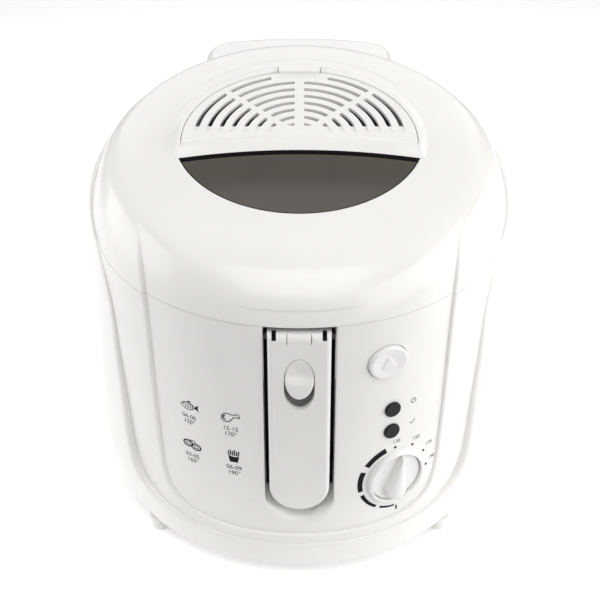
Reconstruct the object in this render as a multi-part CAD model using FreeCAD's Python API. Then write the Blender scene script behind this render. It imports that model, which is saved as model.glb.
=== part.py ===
import FreeCAD, Part
import math
import os

V = FreeCAD.Vector
os.makedirs("parts", exist_ok=True)

# ---------------------------------------------------------------- driving dimensions (mm)
YC = -7.0                 # centre line of the round body, measured from the middle of the footprint
REAR_Y = 143.1            # rearmost face (hinge tower and lid extension)
R_WALL_LOW = 138.55       # outer wall radius where the taper of the lower wall begins
Z_TAPER = 38.5            # height of that line
R_FOOT_LINE = 129.6       # outer wall radius at the underside
R_WALL_TOP = 134.7        # outer wall radius at the seam
R_BAND = 133.3            # radius of the U shaped band
R_PANEL = 131.3           # radius of the front panel
R_CAV = 128.0             # inside radius of the housing
Z_BASE = 0.0              # underside of the housing
FILLET_BASE = 4.0         # rounding of the bottom edge
LIFT = 10.0               # heights here start at the underside of the housing; the finished part is lifted onto its feet
Z_SEAM = 190.0            # seam height at the front
GAP = 0.4                 # half of the seam gap
R_LID = 131.6             # lid radius
LID_T = 2.6               # lid wall
LID_TOP = 244.5           # lid height on the body centre line
LID_CROWN = 1600.0        # crown radius of the lid
LID_ROUND = 38.0          # rounding of the lid edge
LID_TILT = 0.1706         # rise of the lid towards the rear
DISC_Y, DISC_R = 0.9, 78.4
FIL_Y, FIL_Z, FIL_TILT = 1.7, 249.0, 9.68    # filter cover plane
FIL_R, FIL_C = 73.8, -14.9                   # filter cover radius and centre on that plane
FIL_FRONT, FIL_BOW = -12.5, 364.0            # front edge of the cover and the radius of its bow
WIN_REAR, WIN_BOW = -19.6, 488.0             # rear edge of the window opening
SLOT_C, SLOT_Y = -11.4, -1.3                 # centre of the slots, their lower ends
HINGE_Y, HINGE_Z = 128.6, 232.0
HANDLE_Y, HANDLE_Z = -131.0, 180.0
HANDLE_W, HANDLE_END = 37.0, 51.0
REC_W, REC_END, REC_BACK = 43.0, 37.0, -120.0
KNOB_A, KNOB_Z = 27.45, 66.2
KNOB_POINT = 79.0         # direction of the knob pointer on the dial at rest
LAMP_A = 25.4
LAMP_Z = (121.6, 104.8)
REL_A, REL_Z = 23.4, 158.6
REL_W, REL_H = 25.2, 22.4
POT_R, POT_Z = 96.0, 50.0
BASKET_R, BASKET_Z0, BASKET_Z1 = 88.0, 58.0, 118.0
FOOT_X, FOOT_Y1, FOOT_Y2 = 94.7, -87.0, 73.0


# ---------------------------------------------------------------- helpers
def box(x0, x1, y0, y1, z0, z1):
    return Part.makeBox(x1 - x0, y1 - y0, z1 - z0, V(x0, y0, z0))


def cyl(r, z0, z1, x=0.0, y=YC):
    return Part.makeCylinder(r, z1 - z0, V(x, y, z0))


def xcyl(r, x0, x1, y, z):
    return Part.makeCylinder(r, x1 - x0, V(x0, y, z), V(1, 0, 0))


def revolve_edges(edges, y=YC):
    s = Part.Face(Part.Wire(edges)).revolve(V(0, 0, 0), V(0, 0, 1), 360)
    s.translate(V(0, y, 0))
    return Part.Solid(s) if s.ShapeType == "Shell" else s


def rev(pts, y=YC):
    p = [V(r, 0, z) for r, z in pts]
    return revolve_edges([Part.LineSegment(a, b).toShape() for a, b in zip(p, p[1:] + p[:1])], y)


def fuse(shapes):
    s = shapes[0]
    if len(shapes) > 1:
        s = s.multiFuse(list(shapes[1:]))
    return s.removeSplitter()


def radial(shape, ang, z, r):
    a = math.radians(ang)
    m = FreeCAD.Matrix(math.cos(a), 0, math.sin(a), r * math.sin(a),
                       math.sin(a), 0, -math.cos(a), YC - r * math.cos(a),
                       0, 1, 0, z, 0, 0, 0, 1)
    s = shape.copy()
    s.Placement = FreeCAD.Placement(m)
    return s


def on_filter(shape):
    a = math.radians(FIL_TILT)
    m = FreeCAD.Matrix(1, 0, 0, 0,
                       0, math.cos(a), -math.sin(a), FIL_Y,
                       0, math.sin(a), math.cos(a), FIL_Z, 0, 0, 0, 1)
    s = shape.copy()
    s.Placement = FreeCAD.Placement(m)
    return s


def ellipse_prism(a, b, z0, z1):
    if a >= b:
        e = Part.Ellipse(V(0, 0, z0), a, b).toShape()
    else:
        el = Part.Ellipse(V(0, 0, z0), b, a)
        el.AngleXU = math.pi / 2
        e = el.toShape()
    return Part.Face(Part.Wire([e])).extrude(V(0, 0, z1 - z0))


def spline(pts):
    c = Part.BSplineCurve()
    c.interpolate([V(*p) for p in pts])
    return c.toShape()


def xz_prism(right_pts, top, y0, y1):
    """closed outline in the front view, given from the top right down to the middle"""
    left = [(-x, z) for x, z in reversed(right_pts[:-1])]
    pts = [(x, y0, z) for x, z in list(right_pts) + left]
    e1 = spline(pts)
    xr, zr = right_pts[0]
    e2 = Part.LineSegment(V(-xr, y0, zr), V(-xr, y0, top)).toShape()
    e3 = Part.LineSegment(V(-xr, y0, top), V(xr, y0, top)).toShape()
    e4 = Part.LineSegment(V(xr, y0, top), V(xr, y0, zr)).toShape()
    return Part.Face(Part.Wire([e1, e2, e3, e4])).extrude(V(0, y1 - y0, 0))


def slot_xz(half_w, z_end, top, y0, y1):
    """upright slot in the front view with a round lower end"""
    zc = z_end + half_w
    a = box(-half_w, half_w, y0, y1, zc, top)
    b = Part.makeCylinder(half_w, y1 - y0, V(0, y0, zc), V(0, 1, 0))
    return fuse([a, b])


def half_disc(r, y_front, z0, z1, yc=0.0, xc=0.0):
    d = Part.makeCylinder(r, z1 - z0, V(xc, yc, z0))
    return d.common(box(xc - r - 1, xc + r + 1, y_front, yc + r + 1, z0 - 1, z1 + 1))


def bay(r, yc, front, z0, z1, bow=FIL_BOW):
    """round shape with a bowed front edge"""
    d = Part.makeCylinder(r, z1 - z0, V(0, yc, z0))
    return d.cut(Part.makeCylinder(bow, z1 - z0 + 2, V(0, front - bow, z0 - 1)))


def oval_face(a, b, zc, y0, y1):
    """upright ellipse in the front view"""
    e = ellipse_prism(a, b, 0.0, y1 - y0)
    e.rotate(V(0, 0, 0), V(1, 0, 0), 90)
    e.translate(V(0, y1, zc))
    return e


def coil(r, wire, z0, z1, turns):
    """compression spring along z, drawn as a helix tube"""
    h = Part.makeHelix((z1 - z0 - 2 * wire) / turns, z1 - z0 - 2 * wire, r)
    h.translate(V(0, 0, z0 + wire))
    w = Part.Wire(h.Edges)
    c = Part.Wire([Part.Circle(V(r, 0, z0 + wire), V(0, 1, 0), wire).toShape()])
    return Part.Solid(w.makePipeShell([c], True, True))


OUT = {}


def put(name, shape):
    OUT[name] = shape


# ---------------------------------------------------------------- shared envelopes
# seam in the side view, extruded across the width
SEAM = [(-160.0, Z_SEAM), (-130.0, Z_SEAM), (-110.0, Z_SEAM), (-95.0, Z_SEAM + 0.2), (-75.0, Z_SEAM + 2.2),
        (-55.0, Z_SEAM + 7.0), (-20.0, Z_SEAM + 17.6), (20.0, Z_SEAM + 28.6), (60.0, Z_SEAM + 36.8),
        (100.0, Z_SEAM + 40.6), (160.0, Z_SEAM + 42.0)]


def below_seam(dz):
    e1 = spline([(-200.0, y, z + dz) for y, z in SEAM])
    y0, y1 = SEAM[0][0], SEAM[-1][0]
    z0, z1 = SEAM[0][1] + dz, SEAM[-1][1] + dz
    e2 = Part.LineSegment(V(-200, y1, z1), V(-200, y1, -20)).toShape()
    e3 = Part.LineSegment(V(-200, y1, -20), V(-200, y0, -20)).toShape()
    e4 = Part.LineSegment(V(-200, y0, -20), V(-200, y0, z0)).toShape()
    return Part.Face(Part.Wire([e1, e2, e3, e4])).extrude(V(400, 0, 0))


def wall_profile():
    foot, bend, top = V(R_FOOT_LINE, 0, Z_BASE), V(R_WALL_LOW, 0, Z_TAPER), V(R_WALL_TOP, 0, 188.0)
    lo, hi = (bend - foot).normalize(), (top - bend).normalize()
    # rounded bottom edge
    half = math.acos(lo.dot(V(-1, 0, 0))) / 2.0
    t = FILLET_BASE / math.tan(half)
    f1, f2 = foot + V(-t, 0, 0), foot + lo * t
    fc = f1 + V(0, 0, FILLET_BASE)
    fm = fc + (foot - fc).normalize() * FILLET_BASE
    # wide rounding where the taper begins
    turn = math.acos(lo.dot(hi)) / 2.0
    b1, b2 = bend - lo * 12.0, bend + hi * 12.0
    sag = 12.0 / math.tan(turn) * (1.0 / math.cos(turn) - 1.0)
    bm = bend + (hi - lo).normalize() * sag
    t1, t2, t3 = V(R_WALL_TOP - 1.0, 0, 245.0), V(0, 0, 245.0), V(0, 0, Z_BASE)

    def line(u, v):
        return Part.LineSegment(u, v).toShape()
    return [line(t3, f1), Part.Arc(f1, fm, f2).toShape(), line(f2, b1), Part.Arc(b1, bm, b2).toShape(),
            line(b2, top), line(top, t1), line(t1, t2), line(t2, t3)]


WALL = revolve_edges(wall_profile())

U_LINE = [(126.0, 200.0), (120.0, 181.0), (115.2, 160.0), (113.5, 137.0), (110.3, 100.0), (107.6, 66.0), (103.3, 47.0),
          (94.0, 34.8), (81.0, 28.7), (55.0, 24.6), (28.0, 23.7), (0.0, 23.6)]
P_LINE = [(91.1, 186.0), (90.1, 156.0), (89.1, 116.0), (87.6, 78.0), (85.8, 56.5), (81.8, 44.6), (75.0, 37.9),
          (61.6, 33.4), (42.9, 31.3), (24.4, 30.8), (0.0, 30.7)]


def lid_solid(inset):
    r, top, rnd = R_LID - inset, LID_TOP - inset, LID_ROUND - inset
    s = top - r * r / (2.0 * LID_CROWN)
    m = top - (r / 2.0) ** 2 / (2.0 * LID_CROWN)
    p = [V(0, 0, 150), V(r, 0, 150), V(r, 0, s), V(0, 0, top)]
    e = [Part.LineSegment(p[0], p[1]).toShape(), Part.LineSegment(p[1], p[2]).toShape(),
         Part.Arc(p[2], V(r / 2.0, 0, m), p[3]).toShape(), Part.LineSegment(p[3], p[0]).toShape()]
    sol = revolve_edges(e, 0.0)
    rim = [k for k in sol.Edges if abs(k.BoundBox.ZMax - s) < 0.05 and abs(k.BoundBox.ZMin - s) < 0.05
           and k.BoundBox.XMax > r - 0.5]
    sol = sol.makeFillet(rnd, rim)
    m4 = FreeCAD.Matrix(1, 0, 0, 0, 0, 1, 0, 0, 0, LID_TILT, 1, 0, 0, 0, 0, 1)
    sol = sol.transformGeometry(m4)
    sol.translate(V(0, YC, 0))
    return sol


def rear_block(inset, z0, z1, y0, half, rc, rt):
    b = box(-half + inset, half - inset, y0, REAR_Y - inset, z0, z1 - inset)
    ve = [e for e in b.Edges if abs(e.BoundBox.YMin - (REAR_Y - inset)) < 1e-6 and e.BoundBox.ZLength > 5]
    b = b.makeFillet(rc - inset, ve)
    if rt > inset + 0.5:
        te = [e for e in b.Edges if abs(e.BoundBox.ZMin - (z1 - inset)) < 1e-6 and e.BoundBox.YMax > y0 + 1
              and not (e.BoundBox.YMax < y0 + 0.1)]
        te = [e for e in te if not (abs(e.BoundBox.YMin - y0) < 1e-6 and abs(e.BoundBox.YMax - y0) < 1e-6)]
        b = b.makeFillet(rt - inset, te)
    return b


# ---------------------------------------------------------------- housing
def make_housing():
    u = xz_prism(U_LINE, 260.0, -25.0, -200.0).cut(cyl(R_BAND, 0, 300))
    p = xz_prism(P_LINE, 260.0, -25.0, -200.0).cut(cyl(R_PANEL, 0, 300))
    h = WALL.cut(u).cut(p)
    tower = rear_block(0.0, 22.0, 222.0, 90.0, 64.0, 16.0, 0.0)
    h = h.fuse(tower)
    cav = rev([(0, -5), (111.0, -5), (111.0, 4), (125.2, 4), (R_CAV, 22), (R_CAV, 300), (0, 300)])
    h = h.cut(cav)
    # outside the U shaped band the wall follows the outside
    off = [(x + 4.0, z - (0.0 if z > 60 else 4.0)) for x, z in U_LINE[:-1]] + [(0.0, U_LINE[-1][1] - 4.0)]
    lean = rev([(0, 40), (R_WALL_LOW - 3.2, 40), (R_WALL_TOP - 3.2, 188), (R_WALL_TOP - 4.2, 300), (0, 300)])
    h = h.cut(lean.cut(xz_prism(off, 280.0, -20.0, -220.0)))
    inner = rear_block(2.6, 25.0, 209.6, 90.0, 64.0, 16.0, 0.0).cut(cyl(R_WALL_LOW - 4.0, 0, 300))
    h = h.cut(inner)
    pocket = slot_xz(REC_W / 2 + 2.5, REC_END - 2.5, 250.0, -150.0, REC_BACK + 2.6).common(cyl(R_PANEL - 0.5, 20, 189.0))
    h = h.fuse(pocket)
    h = h.cut(slot_xz(REC_W / 2, REC_END, 260.0, -170.0, REC_BACK))
    h = h.common(below_seam(-GAP))
    # hinge bay: room for the rear of the lid to swing down into
    h = h.cut(box(-67.2, 67.2, 88.0, 200.0, 226.5, 300.0).fuse(xcyl(19.4, -67.2, 67.2, HINGE_Y, HINGE_Z)))
    h = h.cut(box(-8.0, 8.0, REC_BACK - 2, REC_BACK + 5, 96.0, 182.0))
    for x in (-19.2, 19.2):
        h = h.cut(box(x - 1.9, x + 1.9, REC_BACK - 2, REC_BACK + 5, 52.0, 178.0))
    h = h.cut(radial(ellipse_prism(REL_W / 2 + 0.45, REL_H / 2 + 0.45, -12, 12), REL_A, REL_Z, R_PANEL))
    for z in LAMP_Z:
        h = h.cut(radial(Part.makeCylinder(4.4, 24, V(0, 0, -12)), LAMP_A, z, R_PANEL))
    h = h.cut(radial(Part.makeCylinder(4.6, 24, V(0, 0, -12)), KNOB_A, KNOB_Z, R_PANEL))
    h = h.cut(xcyl(2.0, -30, 30, HANDLE_Y, HANDLE_Z).cut(box(-REC_W / 2, REC_W / 2, -140, -120, 170, 190)))
    h = h.cut(Part.makeCylinder(6.0, 20, V(0, REAR_Y - 8.0, 46), V(0, 1, 0)))
    h = h.cut(Part.makeCylinder(9.0, 25, V(0, 110, 46), V(0, 1, 0)))
    # screw bosses of the base plate stay outside this shell
    return h.removeSplitter()


put("outer_housing", make_housing())

# ---------------------------------------------------------------- base, feet, fasteners
POSTS = [(60.0, 53.0), (-60.0, 53.0), (60.0, -67.0), (-60.0, -67.0)]
bp = cyl(110.4, Z_BASE, Z_BASE + 3.0)
bp = fuse([bp] + [Part.makeCylinder(5.0, 28.0, V(x, y, Z_BASE + 2.0)) for x, y in POSTS])
vent = []
for k in range(-4, 5):
    vent.append(box(-34, 34, YC + k * 9.0 - 1.5, YC + k * 9.0 + 1.5, Z_BASE - 5, Z_BASE + 10))
bp = bp.cut(Part.makeCompound(vent))
for x, y in POSTS:
    bp = bp.cut(Part.makeCylinder(1.7, 45, V(x, y, Z_BASE - 5)))
put("base_plate", bp)

screws = []
for x, y in POSTS:
    s = fuse([Part.makeCylinder(3.5, 1.8, V(x, y, Z_BASE - 1.8)), Part.makeCylinder(1.7, 17.0, V(x, y, Z_BASE - 0.2))])
    s = s.cut(box(x - 2.4, x + 2.4, y - 0.4, y + 0.4, Z_BASE - 2.5, Z_BASE - 0.9))
    s = s.cut(box(x - 0.4, x + 0.4, y - 2.4, y + 2.4, Z_BASE - 2.5, Z_BASE - 0.9))
    screws.append(s)
put("base_screws", Part.makeCompound(screws))

feet, pads = [], []
for x in (-FOOT_X, FOOT_X):
    for y in (FOOT_Y1, FOOT_Y2):
        f = Part.makeCone(6.0, 6.9, LIFT - 0.8, V(x, y, Z_BASE - LIFT + 0.8))
        f = f.cut(Part.makeCylinder(4.6, 2.0, V(x, y, Z_BASE - LIFT + 0.8)))
        feet.append(f)
        pads.append(Part.makeCylinder(4.5, 2.7, V(x, y, Z_BASE - LIFT)))
put("feet", Part.makeCompound(feet))
put("foot_pads", Part.makeCompound(pads))

# ---------------------------------------------------------------- pan, deck and heating
pan = rev([(0, POT_Z), (84, POT_Z), (92.0, POT_Z + 8), (POT_R + 1.5, 183.9), (108.0, 183.9), (108.0, 185.5),
           (POT_R, 185.5), (90.4, POT_Z + 9), (83.2, POT_Z + 1.6), (0, POT_Z + 1.6)])
pan = pan.cut(box(-14.0, 14.0, -125.0, -90.0, 112.0, 181.5))
put("oil_pan", pan)

deck = rev([(98.5, 179.5), (127.6, 179.5), (127.6, 183.7), (98.5, 183.7)])
deck = deck.cut(box(-26.0, 26.0, -200, -90, 170, 190))
deck = deck.cut(radial(box(-9, 9, 0, 60, -23.0, -2.0), REL_A, 150.0, R_PANEL))
deck = deck.common(cyl(127.6, 170, 190))
put("top_deck", deck)

ring = Part.makeTorus(70.0, 3.9, V(0, YC, 45.2)).cut(box(-9, 9, 0, 120, 30, 60))
x0 = 14.0
y0 = YC + math.sqrt(70.0 ** 2 - x0 ** 2)
legs = []
for s in (-1, 1):
    legs.append(Part.makeCylinder(3.3, 22.0, V(s * x0, y0, 23.2)))
put("heating_element", fuse([ring] + legs))

shield = rev([(0, 33.2), (101.0, 33.2), (101.0, 62.0), (99.8, 62.0), (99.8, 34.4), (0, 34.4)])
for s in (-1, 1):
    shield = shield.cut(Part.makeCylinder(5.0, 10, V(s * x0, y0, 30)))
put("heat_shield", shield)

put("thermal_cutout", fuse([cyl(7.0, 34.4, 40.0, 0, YC), cyl(3.0, 40.0, 49.6, 0, YC),
                            box(-11, 11, YC - 2.5, YC + 2.5, 34.4, 36.0)]))
put("terminal_block", fuse([box(-18, 18, 78, 94, Z_BASE + 3.0, 24.0), box(-15, 15, 80, 92, 24.0, 28.0)]))

# ---------------------------------------------------------------- thermostat and control
th = fuse([radial(Part.makeCylinder(13.0, 12.0, V(0, 0, -20.5)), KNOB_A, KNOB_Z, R_PANEL),
           radial(box(-16, 16, -8, 8, -18.0, -15.0), KNOB_A, KNOB_Z, R_PANEL),
           radial(Part.makeCylinder(6.0, 5.0, V(0, 0, -8.6)), KNOB_A, KNOB_Z, R_PANEL)])
th = th.cut(radial(Part.makeCylinder(3.06, 20, V(0, 0, -14.0)), KNOB_A, KNOB_Z, R_PANEL))
put("thermostat", th)

# capillary tube from the thermostat to the bulb under the pan
a = math.radians(KNOB_A)
n = V(math.sin(a), -math.cos(a), 0)
t = V(math.cos(a), math.sin(a), 0)
c0 = V(0, YC, 0) + n * (R_PANEL - 20.5)
c0.z = KNOB_Z
q2 = c0 - n * 4.0
up = V(q2.x, q2.y, KNOB_Z + 3.0)
tube = [Part.makeCylinder(1.0, 4.0, c0, n * -1), Part.makeSphere(1.0, q2), Part.makeCylinder(1.0, 3.0, q2, V(0, 0, 1)),
        Part.makeSphere(1.0, up), Part.makeCylinder(1.0, 8.0, up, n * -1)]
end = up - n * 8.0
bulb = Part.makeCylinder(2.6, 42.0, end - t * 21.0, t)
put("thermostat_bulb", fuse(tube + [bulb]))

bez = fuse([radial(Part.makeCylinder(20.0, 5.5, V(0, 0, -2.6)), KNOB_A, KNOB_Z, R_PANEL)])
bez = bez.cut(radial(Part.makeCylinder(17.6, 12, V(0, 0, -5)), KNOB_A, KNOB_Z, R_PANEL)).cut(cyl(R_PANEL, 20, 120))
put("dial_bezel", bez)

kd = Part.makeCylinder(17.1, 2.4, V(0, 0, 0.5))
kd = kd.makeFillet(0.8, [e for e in kd.Edges if abs(e.BoundBox.ZMin - 2.9) < 1e-6])
# grip: drop shaped, highest over its round end
g = Part.makeCylinder(7.6, 8.4, V(0, -7.6, 0.8))
tip = Part.makePolygon([V(-7.1, -5.0, 0.8), V(7.1, -5.0, 0.8), V(1.0, 16.6, 0.8), V(-1.0, 16.6, 0.8), V(-7.1, -5.0, 0.8)])
grip = fuse([g, Part.Face(Part.Wire(tip)).extrude(V(0, 0, 8.4))])
for sg in (-1, 1):
    side = Part.makePolygon([V(sg * 1.2, -30, 9.4), V(sg * 10, -30, 3.6), V(sg * 10, -30, 20), V(sg * 1.2, -30, 20), V(sg * 1.2, -30, 9.4)])
    grip = grip.cut(Part.Face(Part.Wire(side)).extrude(V(0, 60, 0)))
slope = Part.makePolygon([V(-20, -8, 9.3), V(-20, 20, 4.8), V(-20, 20, 20), V(-20, -8, 20), V(-20, -8, 9.3)])
grip = grip.cut(Part.Face(Part.Wire(slope)).extrude(V(40, 0, 0)))
knob = fuse([kd, grip])
knob = knob.cut(Part.makeCylinder(3.0, 7.0, V(0, 0, -1)))
knob.rotate(V(0, 0, 0), V(0, 0, 1), KNOB_POINT - 90.0)
put("thermostat_knob", radial(knob, KNOB_A, KNOB_Z, R_PANEL))
shaft = Part.makeCylinder(3.0, 17.6, V(0, 0, -11.8))
put("knob_shaft", radial(shaft, KNOB_A, KNOB_Z, R_PANEL))

for nm, z in (("power_lamp_lens", LAMP_Z[0]), ("ready_lamp_lens", LAMP_Z[1])):
    cap = Part.makeCylinder(5.35, 1.5, V(0, 0, 0.12))
    cap = cap.makeFillet(0.9, [e for e in cap.Edges if abs(e.BoundBox.ZMin - 1.62) < 1e-6])
    put(nm, radial(fuse([cap, Part.makeCylinder(4.3, 9.0, V(0, 0, -8.5))]), LAMP_A, z, R_PANEL))
hold = []
for z in LAMP_Z:
    h = Part.makeCylinder(5.6, 9.0, V(0, 0, -15.0)).cut(Part.makeCylinder(4.35, 6.6, V(0, 0, -12.5)))
    hold.append(radial(h.common(Part.makeCylinder(5.6, 12.0, V(0, 0, -15.0))), LAMP_A, z, R_PANEL))
put("lamp_holders", Part.makeCompound(hold))

# ---------------------------------------------------------------- lid release
rb = ellipse_prism(REL_W / 2, REL_H / 2, -8.0, 2.2)
top = [e for e in rb.Edges if abs(e.BoundBox.ZMin - 2.2) < 1e-6]
rb = rb.makeFillet(1.4, top)
rb = fuse([rb, ellipse_prism(REL_W / 2 + 2.0, REL_H / 2 + 2.0, -8.0, -6.2)])
put("lid_release_button", radial(rb, REL_A, REL_Z, R_PANEL))
lb = fuse([box(-6, 6, -8, 8, -17.0, -8.0), box(-6, 6, 6, 29.6, -17.0, -13.2)])
lb = lb.cut(Part.makeCylinder(3.8, 7.0, V(0, 0, -17.5)))
put("latch_bar", radial(lb, REL_A, REL_Z, R_PANEL))
sp = coil(2.8, 0.45, -22.4, -10.6, 5)
put("release_spring", radial(sp, REL_A, REL_Z, R_PANEL))
rs = fuse([box(-12, 12, -19, -16.2, -24.0, -4.2), box(-12, 12, -19, 8, -24.0, -22.5)])
put("release_bracket", radial(rs, REL_A, REL_Z, R_PANEL))

# ---------------------------------------------------------------- lid
PIVOT_Y, PIVOT_Z = -17.4, -1.3
ABOVE = box(-200, 200, -200, 200, 100, 320).cut(below_seam(GAP))
LID_OUT = lid_solid(0.0)
LID_IN = lid_solid(LID_T)


def make_lid():
    blk_o = rear_block(0.0, 180.0, 248.0, 80.0, 66.0, 18.0, 9.0)
    blk_i = rear_block(LID_T, 170.0, 248.0, 70.0, 66.0, 18.0, 9.0)
    s = LID_OUT.fuse(blk_o)
    # raised rim of the filter bay
    high = bay(77.0, -12.9, FIL_FRONT - 2.6, -9.0, 0.0).cut(box(-70, 70, -40, 0, -1.2, 1.0))
    rim = on_filter(fuse([high, bay(80.0, -9.0, -19.4, -9.0, -2.4)]))
    s = s.fuse(rim)
    s = s.cut(LID_IN.cut(on_filter(bay(80.0, -9.0, -21.0, -12.0, 5.0))))
    s = s.cut(blk_i.cut(LID_OUT))
    s = s.cut(LID_IN.common(on_filter(bay(92.0, -9.0, -40.0, -80.0, -9.0))))
    s = s.common(ABOVE)
    # posts for the liner
    posts = []
    for x, y in LID_POSTS:
        posts.append(cyl(4.5, 196.3, 290.0, x, y).common(LID_OUT))
    s = s.fuse(Part.makeCompound(posts))
    # openings
    seg = cyl(DISC_R, 150, 320, 0, DISC_Y).common(cyl(WIN_BOW, 150, 320, 0, WIN_REAR - WIN_BOW))
    s = s.cut(seg)
    s = s.cut(on_filter(bay(FIL_R + 0.5, FIL_C, FIL_FRONT - 0.5, -40.0, 20.0)))
    s = s.cut(on_filter(box(-14.2, 14.2, 54.0, 66.0, -2.4, 12.0)))
    # pivot holes of the filter cover
    s = s.cut(on_filter(Part.makeCompound([xcyl(1.05, 70.0, 76.6, PIVOT_Y, PIVOT_Z), xcyl(1.05, -76.6, -70.0, PIVOT_Y, PIVOT_Z)])))
    # rear: free the swing of the hinge
    s = s.cut(box(-70, 70, 100.0, 200.0, 150.0, 227.0))
    s = s.cut(box(-38.0, 38.0, HINGE_Y - 19.0, 200.0, 150.0, HINGE_Z + 1.5))
    s = s.cut(box(-38.0, 38.0, HINGE_Y - 13.0, HINGE_Y + 9.0, 150.0, HINGE_Z + 9.0))
    # lugs
    lug = []
    for sx in (-1, 1):
        l = fuse([xcyl(8.0, sx * 43 - 3.5, sx * 43 + 3.5, HINGE_Y, HINGE_Z),
                  box(sx * 43 - 3.5, sx * 43 + 3.5, HINGE_Y - 8.0, HINGE_Y + 8.0, HINGE_Z, 246.5)])
        lug.append(l)
    s = s.fuse(Part.makeCompound(lug))
    s = s.cut(xcyl(2.55, -60, 60, HINGE_Y, HINGE_Z))
    for x, y in LID_POSTS:
        s = s.cut(cyl(1.5, 190, 210, x, y))
    return s.removeSplitter()


LID_POSTS = [(104.0, -45.0), (-104.0, -45.0), (95.0, 51.0), (-95.0, 51.0)]
put("lid_shell", make_lid())

liner = cyl(119.0, 194.2, 196.2)
seg = cyl(70.0, 150, 320, 0, DISC_Y).common(box(-100, 100, -100, -26.0, 150, 320))
liner = liner.cut(seg)
holes = []
for i in range(-4, 5):
    for j in range(0, 4):
        holes.append(cyl(3.0, 190, 200, i * 12.0, 6.0 + j * 13.0))
liner = liner.cut(Part.makeCompound(holes))
for x, y in LID_POSTS:
    liner = liner.cut(cyl(1.5, 190, 200, x, y))
lc = radial(box(-5, 5, 0, 12, -10.6, -8.6), REL_A, 184.2, R_PANEL)
lc = fuse([lc, radial(box(-5, 5, 10.0, 12, -16.0, -8.6), REL_A, 184.2, R_PANEL)])
put("lid_catch", lc)
put("lid_liner", liner.cut(lc))
put("lid_gasket", rev([(100.5, 186.2), (104.5, 186.2), (106.5, 190.0), (106.5, 194.2), (98.5, 194.2), (98.5, 190.0)]))
ls = []
for x, y in LID_POSTS:
    s = fuse([cyl(3.2, 192.4, 194.2, x, y), cyl(1.5, 194.0, 206.0, x, y)])
    s = s.cut(box(x - 2.2, x + 2.2, y - 0.4, y + 0.4, 191.5, 193.2)).cut(box(x - 0.4, x + 0.4, y - 2.2, y + 2.2, 191.5, 193.2))
    ls.append(s)
put("lid_screws", Part.makeCompound(ls))

lo1 = LID_OUT.copy()
lo1.translate(V(0, 0, -0.5))
lo2 = LID_OUT.copy()
lo2.translate(V(0, 0, -3.3))
seg = cyl(DISC_R - 0.3, 150, 320, 0, DISC_Y).common(cyl(WIN_BOW, 150, 320, 0, WIN_REAR - 4.2 - WIN_BOW))
put("viewing_window", lo1.cut(lo2).common(seg))
# inner pane closing the opening of the liner
seg = cyl(76.0, 196.2, 198.2, 0, DISC_Y).common(box(-100, 100, -100, -21.0, 150, 320))
put("inner_window", seg)

tray = half_disc(71.0, -8.0, -22.0, -9.0, FIL_C).fuse(half_disc(77.0, -8.0, -10.4, -9.0, FIL_C))
tray = tray.cut(half_disc(69.4, -6.4, -20.4, 0.0, FIL_C))
vents = []
for i in range(-4, 5):
    for j in range(0, 4):
        if math.hypot(i * 12.0, 6.0 + j * 13.0 - FIL_C) < 62.0:
            vents.append(Part.makeCylinder(3.0, 8, V(i * 12.0, 6.0 + j * 13.0, -26.0)))
tray = tray.cut(Part.makeCompound(vents))
put("filter_tray", on_filter(tray))
put("grease_filter", on_filter(half_disc(69.0, -6.0, -20.3, -15.6, FIL_C)))
put("charcoal_filter", on_filter(half_disc(69.0, -6.0, -15.4, -9.6, FIL_C)))

cov = bay(FIL_R, FIL_C, FIL_FRONT, -2.2, 0.0)
cov = cov.makeFillet(0.8, [e for e in cov.Edges if abs(e.BoundBox.ZMin) < 1e-6 and abs(e.BoundBox.ZMax) < 1e-6])
cov = cov.fuse(bay(FIL_R, FIL_C, -8.0, -6.0, -2.2).cut(Part.makeCylinder(FIL_R - 2.0, 12.0, V(0, FIL_C, -10.0))))
slots, grooves = [], []
SLOT_R = (65.0, 57.4, 49.8, 42.3, 34.7, 27.2, 19.3, 11.7)
RIB = 3.1
for k, r in enumerate(SLOT_R):
    ring = Part.makeCylinder(r + 1.5, 10, V(0, SLOT_C, -5)).cut(Part.makeCylinder(r - 1.5, 12, V(0, SLOT_C, -6)))
    s = ring.common(box(-80, 80, SLOT_Y, 80, -5, 5))
    s = s.cut(box(-RIB, RIB, -80, 80, -6, 6))
    for sg in (-1, 1):
        b = box(-2.1, 2.1, 0, 90, -6, 6)
        b.rotate(V(0, 0, 0), V(0, 0, 1), sg * 45.0)
        b.translate(V(0, SLOT_C, 0))
        s = s.cut(b)
    if k == 0:
        s = s.cut(box(-18.5, 18.5, 0, 90, -6, 6))
    slots.append(s)
    # shallow grooves that run on from the ends of the slots
    if r > 15.0:
        g = Part.makeCylinder(r + 1.3, 3.0, V(0, SLOT_C, -0.7)).cut(Part.makeCylinder(r - 1.3, 4.0, V(0, SLOT_C, -1.0)))
        grooves.append(g.common(box(-80, 80, -8.0, SLOT_Y + 0.3, -2, 5)))
cov = cov.cut(Part.makeCompound(slots)).cut(Part.makeCompound(grooves))
# round pivots at both front corners, and the lifting tab at the rear
for sg in (-1, 1):
    cov = cov.fuse(xcyl(0.7, min(sg * 71.5, sg * 76.0), max(sg * 71.5, sg * 76.0), PIVOT_Y, PIVOT_Z))
cov = cov.fuse(box(-13.5, 13.5, 56.1, 63.4, -1.4, 2.2))
put("filter_cover", on_filter(cov.removeSplitter()))


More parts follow.
